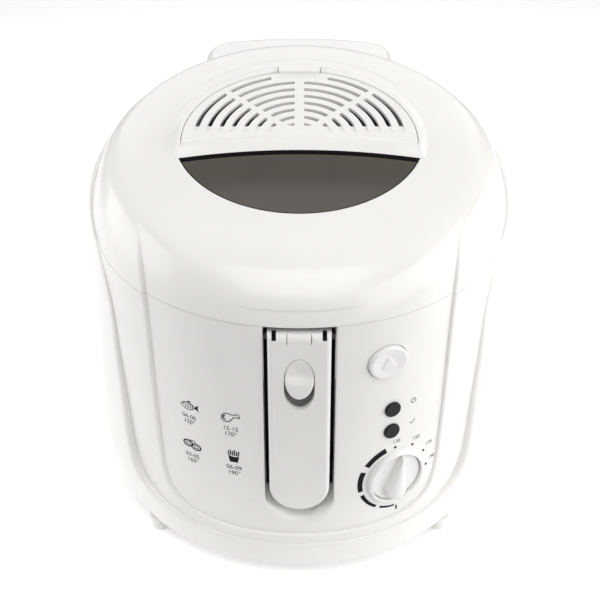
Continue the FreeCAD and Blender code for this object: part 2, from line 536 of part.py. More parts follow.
# ---------------------------------------------------------------- hinge
hb = fuse([box(-36, 36, HINGE_Y - 9.0, HINGE_Y + 1.0, 212.0, HINGE_Z), xcyl(7.0, -36, 36, HINGE_Y, HINGE_Z),
           box(-36, 36, HINGE_Y - 13.0, HINGE_Y + 1.0, 212.0, 215.0)])
hb = hb.cut(xcyl(2.5, -60, 60, HINGE_Y, HINGE_Z))
hb = hb.cut(xcyl(5.8, -22, 22, HINGE_Y, HINGE_Z)).cut(box(-22, 22, HINGE_Y - 10, HINGE_Y + 12, HINGE_Z - 5.8, HINGE_Z + 12))
put("hinge_bracket", hb.cut(OUT["outer_housing"]))
put("hinge_pin", xcyl(2.5, -48.5, 48.5, HINGE_Y, HINGE_Z))
hs = coil(3.6, 0.6, -20.0, 20.0, 16)
hs.rotate(V(0, 0, 0), V(0, 1, 0), 90)
hs.translate(V(0, HINGE_Y, HINGE_Z))
put("lid_spring", hs)
gl = fuse([Part.makeCylinder(6.0, 8.0, V(0, REAR_Y - 7.0, 46.0), V(0, 1, 0)),
           Part.makeCylinder(8.0, 1.8, V(0, REAR_Y - 4.4, 46.0), V(0, 1, 0))])
gl = gl.cut(Part.makeCylinder(3.2, 30, V(0, 130, 46.0), V(0, 1, 0)))
put("cord_gland", gl)

# ---------------------------------------------------------------- basket handle
hw = HANDLE_W / 2
gr = slot_xz(hw, HANDLE_END, 186.0, -139.6, -127.0)
fe = [e for e in gr.Edges if abs(e.BoundBox.YMin + 139.6) < 1e-6 and abs(e.BoundBox.YMax + 139.6) < 1e-6
      and not (e.BoundBox.ZMin > 185.9)]
gr = gr.makeFillet(3.0, fe)
te = [e for e in gr.Edges if e.BoundBox.ZMin > 185.9 and e.BoundBox.XLength > 20 and e.BoundBox.YMax < -138]
cut_top = box(-40, 40, -141, -134.6, 181.0, 187.0).cut(xcyl(5.0, -41, 41, -134.6, 181.0))
gr = gr.cut(cut_top)
hollow = slot_xz(hw - 2.6, HANDLE_END + 2.6, 172.0, -134.0, -120.0)
gr = gr.cut(hollow)
gr = gr.cut(fuse([oval_face(9.0, 14.5, 154.7, -150.0, -136.0), oval_face(9.0, 14.5, 146.3, -150.0, -136.0),
                  box(-9.0, 9.0, -150.0, -136.0, 146.3, 154.7)]))
gr = gr.cut(box(-3.3, 3.3, -140, -130, 138.0, 164.0))
for sg in (-1, 1):
    gr = gr.cut(box(min(sg * 13.3, sg * 15.9), max(sg * 13.3, sg * 15.9), -141, -134.2, 182.2, 187.0))
    gr = gr.cut(box(min(sg * 6.8, sg * 7.3), max(sg * 6.8, sg * 7.3), -141, -136.9, 179.4, 187.0))
gr = gr.cut(xcyl(2.05, -30, 30, HANDLE_Y, HANDLE_Z))
put("handle_grip", gr.removeSplitter())
hbk = fuse([slot_xz(hw, HANDLE_END, 171.0, -127.0, -125.2), box(-4, 4, -133.5, -126.5, 133.0, 136.2)])
put("handle_back", hbk)
put("handle_pin", xcyl(2.0, -23.9, 23.9, HANDLE_Y, HANDLE_Z))
hbt = oval_face(8.6, 14.1, 154.7, -140.6, -136.4)
dish = Part.makeCylinder(14.0, 40, V(-20, -151.8, 162.0), V(1, 0, 0))
hbt = hbt.cut(dish)
hbt = fuse([hbt, box(-2.8, 2.8, -137.0, -131.0, 150.0, 163.0)])
put("handle_button", hbt)
hsp = coil(2.0, 0.35, 136.4, 149.9, 6)
hsp.translate(V(0, -131.3, 0))
put("handle_spring", hsp)

# ---------------------------------------------------------------- basket and lift
rimw = Part.makeTorus(BASKET_R - 0.8, 2.2, V(0, YC, BASKET_Z1))
bk = rev([(0, BASKET_Z0), (80.0, BASKET_Z0), (84.5, BASKET_Z0 + 5), (BASKET_R, BASKET_Z1), (BASKET_R - 1.6, BASKET_Z1),
          (82.9, BASKET_Z0 + 6), (79.3, BASKET_Z0 + 1.6), (0, BASKET_Z0 + 1.6)])
put("basket", bk.cut(rimw))
put("basket_rim", rimw)
hg = fuse([box(-11.5, 11.5, -116.0, -92.0, 119.2, 122.0), box(-11.5, 11.5, -94.0, -92.0, 119.2, 121.5)])
put("basket_hanger", hg.cut(rimw))
ca = fuse([box(-12.4, 12.4, -116.4, -113.6, 96.0, 119.2), box(-6.5, 6.5, -122.0, -116.0, 104.0, 118.0),
           box(-12.4, 12.4, -116.4, -116.0, 119.0, 126.0), box(-12.4, 12.4, -116.4, -113.6, 122.0, 127.0)])
put("lift_carriage", ca.cut(hg))
rl = []
for s in (-1, 1):
    xa, xb = (13.0, 16.0)
    x1, x2 = (xa, xb) if s > 0 else (-xb, -xa)
    rl.append(box(x1, x2, -117.4, -112.4, 90.0, 179.0))
put("lift_rails", Part.makeCompound(rl))

# ---------------------------------------------------------------- write
for name, shape in OUT.items():
    assert not shape.isNull(), name
    shape.translate(V(0, 0, LIFT))
    ok = shape.isValid()
    n = len(shape.Solids)
    b = shape.BoundBox
    print("%-20s valid=%s solids=%d vol=%.1f  x %.1f..%.1f y %.1f..%.1f z %.1f..%.1f"
          % (name, ok, n, shape.Volume, b.XMin, b.XMax, b.YMin, b.YMax, b.ZMin, b.ZMax))
    shape.exportStep("parts/%s.step" % name)
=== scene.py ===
import bpy, bmesh, math
import numpy as np
from mathutils import Vector, Matrix
from mathutils.geometry import delaunay_2d_cdt, tessellate_polygon


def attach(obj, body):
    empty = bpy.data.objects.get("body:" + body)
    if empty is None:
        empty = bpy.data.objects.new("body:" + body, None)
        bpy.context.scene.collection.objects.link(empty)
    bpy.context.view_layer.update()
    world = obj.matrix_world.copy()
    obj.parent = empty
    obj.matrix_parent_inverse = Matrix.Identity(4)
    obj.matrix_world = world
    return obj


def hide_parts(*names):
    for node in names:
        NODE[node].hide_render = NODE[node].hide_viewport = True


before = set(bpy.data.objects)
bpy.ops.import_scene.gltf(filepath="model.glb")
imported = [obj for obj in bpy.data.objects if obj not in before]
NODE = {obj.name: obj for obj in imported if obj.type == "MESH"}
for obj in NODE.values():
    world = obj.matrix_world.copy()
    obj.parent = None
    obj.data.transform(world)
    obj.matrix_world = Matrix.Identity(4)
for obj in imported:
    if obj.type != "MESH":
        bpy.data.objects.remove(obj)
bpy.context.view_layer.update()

MM = 0.001
YC = -7.0
R_BAND, R_PANEL = 133.3, 131.3
REC_HALF, REC_END, REC_BACK = 21.5, 37.0, -120.0
LIFT = 10.0                      # heights here start at the underside of the housing, the feet stand lower
KNOB_A, KNOB_Z, KNOB_POINT = 27.45, 66.2, 79.0
LAMP_A, LAMP_Z = 25.4, (121.6, 104.8)
REL_A, REL_Z, REL_W, REL_H = 23.4, 158.6, 25.2, 22.4
HINGE_Y, HINGE_Z = 128.6, 232.0
rad = math.radians


# ------------------------------------------------------------------ small tools
def spline1(xs, ys):
    """natural cubic spline through points, as a function"""
    x, y = np.asarray(xs, float), np.asarray(ys, float)
    n = len(x)
    h = np.diff(x)
    a = np.zeros((n, n))
    b = np.zeros(n)
    a[0, 0] = a[-1, -1] = 1.0
    for i in range(1, n - 1):
        a[i, i - 1], a[i, i], a[i, i + 1] = h[i - 1], 2 * (h[i - 1] + h[i]), h[i]
        b[i] = 6 * ((y[i + 1] - y[i]) / h[i] - (y[i] - y[i - 1]) / h[i - 1])
    m = np.linalg.solve(a, b)

    def f(v):
        v = np.asarray(v, float)
        i = np.clip(np.searchsorted(x, v) - 1, 0, n - 2)
        d, e = v - x[i], x[i + 1] - v
        return (m[i] * e ** 3 + m[i + 1] * d ** 3) / (6 * h[i]) + (y[i] / h[i] - m[i] * h[i] / 6) * e \
            + (y[i + 1] / h[i] - m[i + 1] * h[i] / 6) * d
    return f


def smoothstep(a, b, v):
    u = np.clip((np.asarray(v, float) - a) / (b - a), 0, 1)
    return u * u * (3 - 2 * u)


def smin(a, b, k):
    h = np.maximum(k - np.abs(a - b), 0) / k
    return np.minimum(a, b) - h * h * k * 0.25


def smax(a, b, k):
    return -smin(-a, -b, k)


def quarter(u):
    """rise of a rounded step: upright at the foot, level at the top"""
    u = np.clip(u, 0, 1)
    return np.sqrt(1 - (1 - u) ** 2)


def resample(p, n=None, at=None):
    p = np.asarray(p, float)
    s = np.r_[0, np.cumsum(np.linalg.norm(np.diff(p, axis=0), axis=1))]
    t = np.linspace(0, s[-1], n) if at is None else np.asarray(at) * s[-1]
    return np.stack([np.interp(t, s, p[:, k]) for k in range(p.shape[1])], 1)


class Skin:
    """collects grids of points in millimetres and welds them into one mesh"""

    def __init__(self):
        self.v, self.f, self.n = [], [], 0

    def add(self, pts):
        pts = np.asarray(pts, float).reshape(-1, 3)
        i = np.arange(self.n, self.n + len(pts))
        self.v.append(pts)
        self.n += len(pts)
        return i

    def grid(self, g, out=None, wrap=False, skip=None):
        """g: rows x columns x 3; out: a direction field (callable or vector) the faces look towards"""
        g = np.asarray(g, float)
        ni, nj = g.shape[:2]
        idx = self.add(g).reshape(ni, nj)
        if wrap:
            idx = np.concatenate([idx, idx[:, :1]], 1)
        a, b, c, d = idx[:-1, :-1], idx[:-1, 1:], idx[1:, 1:], idx[1:, :-1]
        q = np.stack([a, b, c, d], -1).reshape(-1, 4)
        if skip is not None:
            q = q[~np.asarray(skip).reshape(-1)]
        v = np.concatenate(self.v)
        if out is not None:
            mid = v[q].mean(1)
            nrm = np.cross(v[q[:, 2]] - v[q[:, 0]], v[q[:, 3]] - v[q[:, 1]])
            want = out(mid) if callable(out) else np.broadcast_to(np.asarray(out, float), mid.shape)
            if (nrm * want).sum() < 0:
                q = q[:, ::-1]
        self.f += [tuple(int(x) for x in r) for r in q]
        return idx

    def mesh(self, name, weld=2e-6, angle=40.0):
        me = bpy.data.meshes.new(name)
        me.from_pydata(((np.concatenate(self.v) + np.array([0, 0, LIFT])) * MM).tolist(), [], self.f)
        bm = bmesh.new()
        bm.from_mesh(me)
        bmesh.ops.remove_doubles(bm, verts=bm.verts, dist=weld)
        bmesh.ops.dissolve_degenerate(bm, dist=1e-7, edges=bm.edges)
        loose = [v for v in bm.verts if not v.link_faces]
        bmesh.ops.delete(bm, geom=loose, context="VERTS")
        bm.to_mesh(me)
        bm.free()
        for p in me.polygons:
            p.use_smooth = True
        me.set_sharp_from_angle(angle=rad(angle))
        me.update()
        return me


def piece(name, me, mat, body, stands_for=()):
    o = bpy.data.objects.new(name, me)
    bpy.context.scene.collection.objects.link(o)
    if mat is not None:
        me.materials.clear()
        for m in (mat if isinstance(mat, (list, tuple)) else [mat]):
            me.materials.append(m)
    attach(o, body)
    if stands_for:
        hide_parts(*stands_for)
    return o


def radial_frame(ang, z, r):
    """maps local (tangent, up, outward) points to the body at angle ang"""
    a = rad(ang)
    t = np.array([math.cos(a), math.sin(a), 0.0])
    u = np.array([0.0, 0.0, 1.0])
    n = np.array([math.sin(a), -math.cos(a), 0.0])
    o = np.array([0.0, YC, z]) + n * r

    def f(p):
        p = np.asarray(p, float)
        return o + p[..., :1] * t + p[..., 1:2] * u + p[..., 2:3] * n
    return f, t, u, n


def on_panel(a, z, r=R_PANEL):
    """a: millimetres along the panel's arc from the middle, z: height"""
    th = np.asarray(a, float) / R_PANEL
    return np.stack([r * np.sin(th), YC - r * np.cos(th), np.broadcast_to(z, th.shape)], -1)


def from_axis(p):
    d = p - np.array([0, YC, 0])
    d[..., 2] = 0
    return d


# ------------------------------------------------------------------ materials
def material(name, color, rough, metallic=0.0, coat=0.0, ior=1.5, vary=0.03, vary_scale=60.0, bump=0.02, bump_scale=1400.0,
             rough_vary=0.05, sss=0.0, transmission=0.0, speck=None, emission=None, brushed=False, spec=0.5):
    m = bpy.data.materials.new(name)
    m.use_nodes = True
    nt = m.node_tree
    bs = nt.nodes["Principled BSDF"]
    co = nt.nodes.new("ShaderNodeTexCoord")
    n1 = nt.nodes.new("ShaderNodeTexNoise")
    n1.inputs["Scale"].default_value = vary_scale
    n1.inputs["Detail"].default_value = 5.0
    nt.links.new(co.outputs["Object"], n1.inputs["Vector"])
    ramp = nt.nodes.new("ShaderNodeValToRGB")
    c = np.array(color, float)
    ramp.color_ramp.elements[0].position = 0.3
    ramp.color_ramp.elements[1].position = 0.7
    ramp.color_ramp.elements[0].color = (*np.clip(c * (1 - vary), 0, 1), 1)
    ramp.color_ramp.elements[1].color = (*np.clip(c * (1 + vary), 0, 1), 1)
    nt.links.new(n1.outputs["Fac"], ramp.inputs["Fac"])
    col = ramp.outputs["Color"]
    if speck:
        v = nt.nodes.new("ShaderNodeTexVoronoi")
        v.inputs["Scale"].default_value = speck[0]
        nt.links.new(co.outputs["Object"], v.inputs["Vector"])
        r2 = nt.nodes.new("ShaderNodeValToRGB")
        r2.color_ramp.elements[0].position = speck[1]
        r2.color_ramp.elements[1].position = speck[1] + 0.06
        r2.color_ramp.elements[0].color = (*speck[2], 1)
        r2.color_ramp.elements[1].color = (0, 0, 0, 1)
        nt.links.new(v.outputs["Distance"], r2.inputs["Fac"])
        mx = nt.nodes.new("ShaderNodeMix")
        mx.data_type = "RGBA"
        mx.blend_type = "ADD"
        mx.inputs["Factor"].default_value = 1.0
        nt.links.new(col, mx.inputs["A"])
        nt.links.new(r2.outputs["Color"], mx.inputs["B"])
        col = mx.outputs["Result"]
    nt.links.new(col, bs.inputs["Base Color"])
    n2 = nt.nodes.new("ShaderNodeTexNoise")
    n2.inputs["Scale"].default_value = vary_scale * 2.3
    n2.inputs["Detail"].default_value = 6.0
    mapping = nt.nodes.new("ShaderNodeMapping")
    nt.links.new(co.outputs["Object"], mapping.inputs["Vector"])
    if brushed:
        mapping.inputs["Scale"].default_value = (1.0, 1.0, 40.0)
    nt.links.new(mapping.outputs["Vector"], n2.inputs["Vector"])
    mr = nt.nodes.new("ShaderNodeMapRange")
    mr.inputs["To Min"].default_value = max(rough - rough_vary, 0.02)
    mr.inputs["To Max"].default_value = min(rough + rough_vary, 1.0)
    nt.links.new(n2.outputs["Fac"], mr.inputs["Value"])
    nt.links.new(mr.outputs["Result"], bs.inputs["Roughness"])
    if bump:
        n3 = nt.nodes.new("ShaderNodeTexNoise")
        n3.inputs["Scale"].default_value = bump_scale
        n3.inputs["Detail"].default_value = 3.0
        nt.links.new(mapping.outputs["Vector"], n3.inputs["Vector"])
        bp = nt.nodes.new("ShaderNodeBump")
        bp.inputs["Strength"].default_value = bump
        bp.inputs["Distance"].default_value = 0.0004
        nt.links.new(n3.outputs["Fac"], bp.inputs["Height"])
        nt.links.new(bp.outputs["Normal"], bs.inputs["Normal"])
    bs.inputs["Metallic"].default_value = metallic
    bs.inputs["IOR"].default_value = ior
    bs.inputs["Specular IOR Level"].default_value = spec
    bs.inputs["Coat Weight"].default_value = coat
    if coat:
        bs.inputs["Coat Roughness"].default_value = 0.08
    if transmission:
        bs.inputs["Transmission Weight"].default_value = transmission
    if sss:
        bs.inputs["Subsurface Weight"].default_value = sss
        bs.inputs["Subsurface Radius"].default_value = (0.004, 0.003, 0.002)
        bs.inputs["Subsurface Scale"].default_value = 0.5
    return m


WHITE = material("white_gloss_plastic", (0.80, 0.795, 0.775), 0.30, vary=0.012, vary_scale=35, bump=0.05, bump_scale=900)
LIDW = material("white_lid_plastic", (0.80, 0.795, 0.775), 0.22, vary=0.012, vary_scale=35, bump=0.04, bump_scale=900)
HANDLE = material("white_handle_plastic", (0.79, 0.785, 0.765), 0.38, vary=0.014, vary_scale=50, bump=0.12, bump_scale=2600)
KNOBW = material("white_knob_plastic", (0.80, 0.795, 0.78), 0.28, vary=0.005, vary_scale=60, bump=0.05, bump_scale=1500, rough_vary=0.02)
SMOKED = material("smoked_window", (0.085, 0.078, 0.066), 0.10, vary=0.05, vary_scale=25, bump=0.02, bump_scale=300, rough_vary=0.03)
CLEAR = material("inner_pane", (0.62, 0.63, 0.62), 0.12, vary=0.02, transmission=0.6, bump=0.0)
LENS = material("lamp_lens", (0.014, 0.011, 0.010), 0.3, vary=0.2, vary_scale=500, bump=0.15, bump_scale=2200, rough_vary=0.04, spec=0.22)
INK = material("printed_ink", (0.012, 0.012, 0.013), 0.6, vary=0.2, vary_scale=900, bump=0.05, bump_scale=3000, spec=0.08)
# painted shade: a black material for faces that stand in for shade in gaps, behind the window and in the handle's
# notches
PAINTED_SHADE_BLACK = material("painted_shade_black", (0.012, 0.012, 0.012), 0.6, vary=0.15, vary_scale=300, bump=0.1, bump_scale=1800)
SHADOW = material("inner_dark_plastic", (0.16, 0.155, 0.15), 0.6, vary=0.06, vary_scale=80, bump=0.05)
RUBBER = material("grey_rubber", (0.20, 0.20, 0.20), 0.75, vary=0.08, vary_scale=300, bump=0.25, bump_scale=2500)
SILICONE = material("silicone_seal", (0.55, 0.54, 0.52), 0.5, vary=0.04, vary_scale=120, bump=0.08, sss=0.15)
NONSTICK = material("nonstick_coating", (0.055, 0.055, 0.057), 0.42, vary=0.1, vary_scale=250, bump=0.2, bump_scale=2000,
                    speck=(700.0, 0.10, (0.11, 0.11, 0.11)))
STEEL = material("steel", (0.55, 0.55, 0.56), 0.30, metallic=1.0, vary=0.06, vary_scale=120, bump=0.05, bump_scale=1200, brushed=True)
WIRE = material("chromed_wire", (0.68, 0.68, 0.69), 0.16, metallic=1.0, vary=0.05, vary_scale=300, bump=0.03, bump_scale=1500)
ZINC = material("zinc_plate", (0.50, 0.51, 0.53), 0.45, metallic=1.0, vary=0.16, vary_scale=90, bump=0.06, bump_scale=600, rough_vary=0.12)
ELEMENT = material("heater_sheath", (0.16, 0.13, 0.115), 0.5, metallic=0.8, vary=0.25, vary_scale=140, bump=0.12, rough_vary=0.12)
BAKELITE = material("bakelite", (0.05, 0.045, 0.04), 0.45, vary=0.15, vary_scale=200, bump=0.08)
CERAMIC = material("ceramic", (0.75, 0.72, 0.66), 0.6, vary=0.05, vary_scale=200, bump=0.1)
COPPER = material("copper_tube", (0.62, 0.34, 0.20), 0.35, metallic=1.0, vary=0.12, vary_scale=180, bump=0.05)
WOOL = material("filter_wool", (0.62, 0.60, 0.55), 0.95, vary=0.12, vary_scale=700, bump=0.9, bump_scale=1800)
CHARCOAL = material("charcoal_foam", (0.03, 0.03, 0.031), 0.95, vary=0.3, vary_scale=900, bump=0.9, bump_scale=1500)
# painted shade: dark material for the shaded floor of the thumb button's pocket
PAINTED_POCKET_SHADE = material("painted_pocket_shade", (0.13, 0.128, 0.122), 0.6, vary=0.05, vary_scale=90, bump=0.06)
GREYP = material("grey_plastic", (0.42, 0.42, 0.41), 0.5, vary=0.04, vary_scale=90, bump=0.08)

for name, m in {
    "base_plate": GREYP, "base_screws": ZINC, "feet": WHITE, "foot_pads": RUBBER, "oil_pan": NONSTICK, "top_deck": STEEL,
    "heating_element": ELEMENT, "heat_shield": ZINC, "thermal_cutout": CERAMIC, "terminal_block": CERAMIC,
    "thermostat": BAKELITE, "thermostat_bulb": COPPER, "dial_bezel": KNOBW, "thermostat_knob": KNOBW, "knob_shaft": STEEL,
    "power_lamp_lens": LENS, "ready_lamp_lens": LENS, "lamp_holders": CERAMIC, "lid_release_button": KNOBW,
    "latch_bar": GREYP, "release_spring": STEEL, "release_bracket": ZINC, "lid_shell": LIDW, "lid_liner": STEEL,
    "lid_gasket": SILICONE, "lid_screws": ZINC, "viewing_window": SMOKED, "inner_window": CLEAR, "filter_tray": GREYP,
    "grease_filter": WOOL, "charcoal_filter": CHARCOAL, "filter_cover": LIDW, "lid_catch": ZINC, "hinge_bracket": SHADOW,
    "hinge_pin": STEEL, "lid_spring": STEEL, "cord_gland": RUBBER, "handle_grip": HANDLE, "handle_back": HANDLE,
    # painted shade: the handle pin gets the dark bakelite so it reads as the shade in the gap beside the handle
    "handle_pin": BAKELITE, "handle_button": HANDLE, "handle_spring": STEEL, "basket": WIRE, "basket_rim": WIRE,
    "basket_hanger": STEEL, "lift_carriage": GREYP, "lift_rails": GREYP, "outer_housing": WHITE}.items():
    NODE[name].data.materials.clear()
    NODE[name].data.materials.append(m)

# ------------------------------------------------------------------ shared curves
SEAM = [(-160, 190), (-130, 190), (-110, 190), (-95, 190.2), (-75, 192.2), (-55, 197), (-20, 207.6), (20, 218.6),
        (60, 226.8), (100, 230.6), (160, 232)]
seam = spline1([p[0] for p in SEAM], [p[1] for p in SEAM])

# outer wall of the body as a profile (radius, height) along its length
def bend(p0, p1, p2, cut, n):
    """points of the round bend that joins two straight runs, starting cut before their corner"""
    p0, p1, p2 = (np.array(q, float) for q in (p0, p1, p2))
    d0, d1 = (p1 - p0) / np.linalg.norm(p1 - p0), (p2 - p1) / np.linalg.norm(p2 - p1)
    half = math.acos(float(d0 @ d1)) / 2
    r = cut / math.tan(half)
    c = p1 - d0 * cut + np.array([-d0[1], d0[0]]) * r
    a0 = math.atan2(*(p1 - d0 * cut - c)[::-1])
    return [tuple(c + r * np.array([math.cos(a0 + 2 * half * k / n), math.sin(a0 + 2 * half * k / n)])) for k in range(n + 1)]


FOOT_LINE, TAPER, WALL_TOP = (129.6, 0.0), (138.55, 38.5), (134.7, 188.0)
PROF = np.array([(110.9, 0.0)] + bend((100.0, 0.0), FOOT_LINE, TAPER, 3.2, 16) + bend(FOOT_LINE, TAPER, WALL_TOP, 12.0, 24)
                + [(138.24 - 3.54 * k / 40, 50.5 + 137.5 * k / 40) for k in range(1, 41)]
                + [(134.7 - k / 10, 188 + 5.7 * k) for k in range(1, 11)])
PROF_S = np.r_[0, np.cumsum(np.linalg.norm(np.diff(PROF, axis=0), axis=1))]


def prof(q):
    return np.interp(q, PROF_S, PROF[:, 0]), np.interp(q, PROF_S, PROF[:, 1])


def q_of_z(z):
    return np.interp(z, PROF[1:, 1], PROF_S[1:])


U_LINE = [(126.0, 200.0), (120.0, 181.0), (115.2, 160.0), (113.5, 137.0), (110.3, 100.0), (107.6, 66.0), (103.3, 47.0),
          (94.0, 34.8), (81.0, 28.7), (55.0, 24.6), (28.0, 23.7), (0.0, 23.6)]
P_LINE = [(91.6, 196.0), (91.1, 186.0), (90.1, 156.0), (89.1, 116.0), (87.6, 78.0), (85.8, 56.5), (81.8, 44.6), (75.0, 37.9),
          (61.6, 33.4), (42.9, 31.3), (24.4, 30.8), (0.0, 30.7)]


def u_curve(line, r):
    """right half of a front view outline, from the bottom middle up to the seam, as (angle, profile length)"""
    pts = [(-x, z) for x, z in line] + [(x, z) for x, z in reversed(line[:-1])]
    p = np.array(pts)
    s = np.r_[0, np.cumsum(np.linalg.norm(np.diff(p, axis=0), axis=1))]
    fx, fz = spline1(s, p[:, 0]), spline1(s, p[:, 1])
    d = np.linspace(s[len(line) - 1], s[-1], 900)
    x, z = fx(d), fz(d)
    th = np.arcsin(np.clip(x / r, -1, 1))
    top = seam(YC - r * np.cos(th)) - 0.4
    k = np.argmax(z > top) if np.any(z > top) else len(z)
    return th[:k + 1], z[:k + 1]


NB, NS = 58, 66


def two_part(th, z, r, corner):
    """samples a curve so that its corner falls on the same column everywhere"""
    p = np.stack([th * r, z], 1)
    k = corner
    return np.concatenate([resample(p[:k + 1], NB)[:-1], resample(p[k:], NS)])


def corner_of(th, z, r):
    p = np.stack([th * r, z], 1)
    w = p[:, 0] / p[-1, 0] - (p[:, 1] - p[0, 1]) / (p[-1, 1] - p[0, 1])
    return int(np.argmax(w))


# recess outline
a = np.linspace(-math.pi / 2, 0, 200)
rx = np.r_[REC_HALF * np.cos(a), np.full(400, REC_HALF)]
rz = np.r_[REC_END + REC_HALF + REC_HALF * np.sin(a), np.linspace(REC_END + REC_HALF, 189.6, 401)[1:]]
C0 = two_part(np.arcsin(rx / R_PANEL), rz, R_PANEL, 199)
th, z = u_curve(P_LINE, 132.0)
C1 = two_part(th, z, R_PANEL, corner_of(th, z, 132.0))
th, z = u_curve(U_LINE, R_BAND)
C2 = two_part(th, z, R_PANEL, corner_of(th, z, R_BAND))
# C2 as (angle, profile length); the outer limit runs along the base edge and up the side
C2q = np.stack([C2[:, 0] / R_PANEL, q_of_z(C2[:, 1])], 1)
TH_SIDE = rad(100.0)


def top_q(th, r=134.4):
    return q_of_z(seam(YC - r * np.cos(th)) - 0.4)


uu = np.linspace(0, 1, NS) ** 1.25
C3q = np.concatenate([np.stack([np.linspace(0, TH_SIDE, NB), np.zeros(NB)], 1)[:-1],
                      np.stack([np.full(NS, TH_SIDE), uu * top_q(TH_SIDE)], 1)])
NT = len(C0)
tt = np.linspace(0, 1, NT)


def to_xyz(th, z, r):
    return np.stack([r * np.sin(th), YC - r * np.cos(th), z], -1)


def end_on_seam(th, z, r):
    """draws the last stretch of a row to the seam"""
    ze = seam(YC - r[-1] * np.cos(th[-1])) - 0.4
    w = np.clip((tt - 0.7) / 0.3, 0, 1) ** 2
    return z + (ze - z[-1]) * w


rows = []
# the recess has a small rounding along its sides and a wide one at its lower end
edge_t = np.clip(tt / tt[NB - 1], 0, 1)
ROUND = 0.9 + 6.0 * (1 - smoothstep(0.45, 1.0, edge_t))
NRM = C0 - np.array([0.0, REC_END + REC_HALF])
NRM[:, 1] = np.minimum(NRM[:, 1], 0.0)
NRM /= np.linalg.norm(NRM, axis=1)[:, None]
E0 = C0 + NRM * 0.9
C0 = E0 - NRM * ROUND[:, None]
D12 = np.linalg.norm(C2 - C1, axis=1)
for ang in (90, 78, 66, 54, 42, 30, 20, 10):
    c = C0 + NRM * (ROUND * (1 - math.sin(rad(ang))))[:, None]
    r = R_PANEL - ROUND * (1 - math.cos(rad(ang)))
    rows.append(to_xyz(c[:, 0] / R_PANEL, end_on_seam(c[:, 0] / R_PANEL, c[:, 1], r), r))
for k in range(0, 27):
    c = E0 + (C1 - E0) * (k / 26.0)
    r = np.full(NT, R_PANEL)
    rows.append(to_xyz(c[:, 0] / R_PANEL, end_on_seam(c[:, 0] / R_PANEL, c[:, 1], r), r))
W_P, W_U = 2.1, 3.4
for u in (0.012, 0.05, 0.12, 0.22, 0.36, 0.55, 0.78, 1.0):
    c = C1 + (C2 - C1) * (u * W_P / D12)[:, None]
    r = R_PANEL + (R_BAND - R_PANEL) * quarter(u) * np.ones(NT)
    rows.append(to_xyz(c[:, 0] / R_PANEL, end_on_seam(c[:, 0] / R_PANEL, c[:, 1], r), r))
s0 = W_P / D12
for k in range(1, 11):
    s = s0 + (1 - s0) * (k / 10.0)
    c = C1 + (C2 - C1) * s[:, None]
    r = np.full(NT, R_BAND)
    rows.append(to_xyz(c[:, 0] / R_PANEL, end_on_seam(c[:, 0] / R_PANEL, c[:, 1], r), r))
D23 = np.linalg.norm((C3q - C2q) * np.array([136.0, 1.0]), axis=1)
for u in (0.01, 0.045, 0.11, 0.2, 0.33, 0.5, 0.72, 1.0):
    c = C2q + (C3q - C2q) * (u * W_U / D23)[:, None]
    rw, zw = prof(c[:, 1])
    r = R_BAND + np.maximum(rw - R_BAND, 0.0) * quarter(u)
    rows.append(to_xyz(c[:, 0], end_on_seam(c[:, 0], zw, r), r))
s0 = W_U / D23
for k in range(1, 27):
    s = s0 + (1 - s0) * (k / 26.0) ** 1.15
    c = C2q + (C3q - C2q) * s[:, None]
    rw, zw = prof(c[:, 1])
    rows.append(to_xyz(c[:, 0], end_on_seam(c[:, 0], zw, rw) if k < 26 else zw, rw))
rows = np.array(rows)                      # rows x columns x 3 (right half)
mirror = rows[:, ::-1].copy()
mirror[:, :, 0] *= -1
FRONT = np.concatenate([mirror, rows[:, 1:]], 1)

body = Skin()

# the release button's hole is left open and closed again with a fitted patch
HOLE_C = np.array([rad(REL_A) * R_PANEL, REL_Z])


def flat_of(p):
    return np.stack([np.arctan2(p[..., 0], -(p[..., 1] - YC)) * R_PANEL, p[..., 2]], -1)


def in_hole(p, grow):
    f = (flat_of(p) - HOLE_C) / np.array([REL_W / 2 + 0.5 + grow, REL_H / 2 + 0.5 + grow])
    return (f ** 2).sum(-1) < 1


mid = (FRONT[:-1, :-1] + FRONT[1:, 1:]) / 2
cut = in_hole(mid, 3.0)
for c in (FRONT[:-1, :-1], FRONT[1:, :-1], FRONT[:-1, 1:], FRONT[1:, 1:]):
    cut |= in_hole(c, 2.5)
ids = body.grid(FRONT, from_axis, skip=cut)
# rim of the removed area, in order, and the patch
edge_count = {}
for i in range(cut.shape[0]):
    for j in range(cut.shape[1]):
        if cut[i, j]:
            q = [ids[i, j], ids[i, j + 1], ids[i + 1, j + 1], ids[i + 1, j]]
            for e in zip(q, q[1:] + q[:1]):
                k = tuple(sorted((int(e[0]), int(e[1]))))
                edge_count[k] = edge_count.get(k, 0) + 1
border = [k for k, n in edge_count.items() if n == 1]
allv = np.concatenate(body.v)
bv = sorted({v for e in border for v in e})
pos = {v: i for i, v in enumerate(bv)}
pts2 = [Vector(p) for p in flat_of(allv[bv])]
edges = [(pos[a_], pos[b_]) for a_, b_ in border]
NH = 96
ring_pts = []
for grow in (0.0, 0.5, 1.3):
    base = len(pts2)
    for k in range(NH):
        t = 2 * math.pi * (k + 0.5 * (grow > 0)) / NH
        pts2.append(Vector((HOLE_C[0] + (REL_W / 2 + 0.95 + grow) * math.cos(t), HOLE_C[1] + (REL_H / 2 + 0.95 + grow) * math.sin(t))))
    if grow == 0.0:
        ring0 = list(range(base, base + NH))
        edges += [(base + k, base + (k + 1) % NH) for k in range(NH)]
vo, eo, fo, _, _, _ = delaunay_2d_cdt(pts2, edges, [], 0, 1e-5)
flat = np.array([tuple(v) for v in vo])
p3 = on_panel(flat[:, 0], flat[:, 1])
new = body.add(p3)
loop = np.array([[flat_of(allv[a_]), flat_of(allv[b_])] for a_, b_ in border])
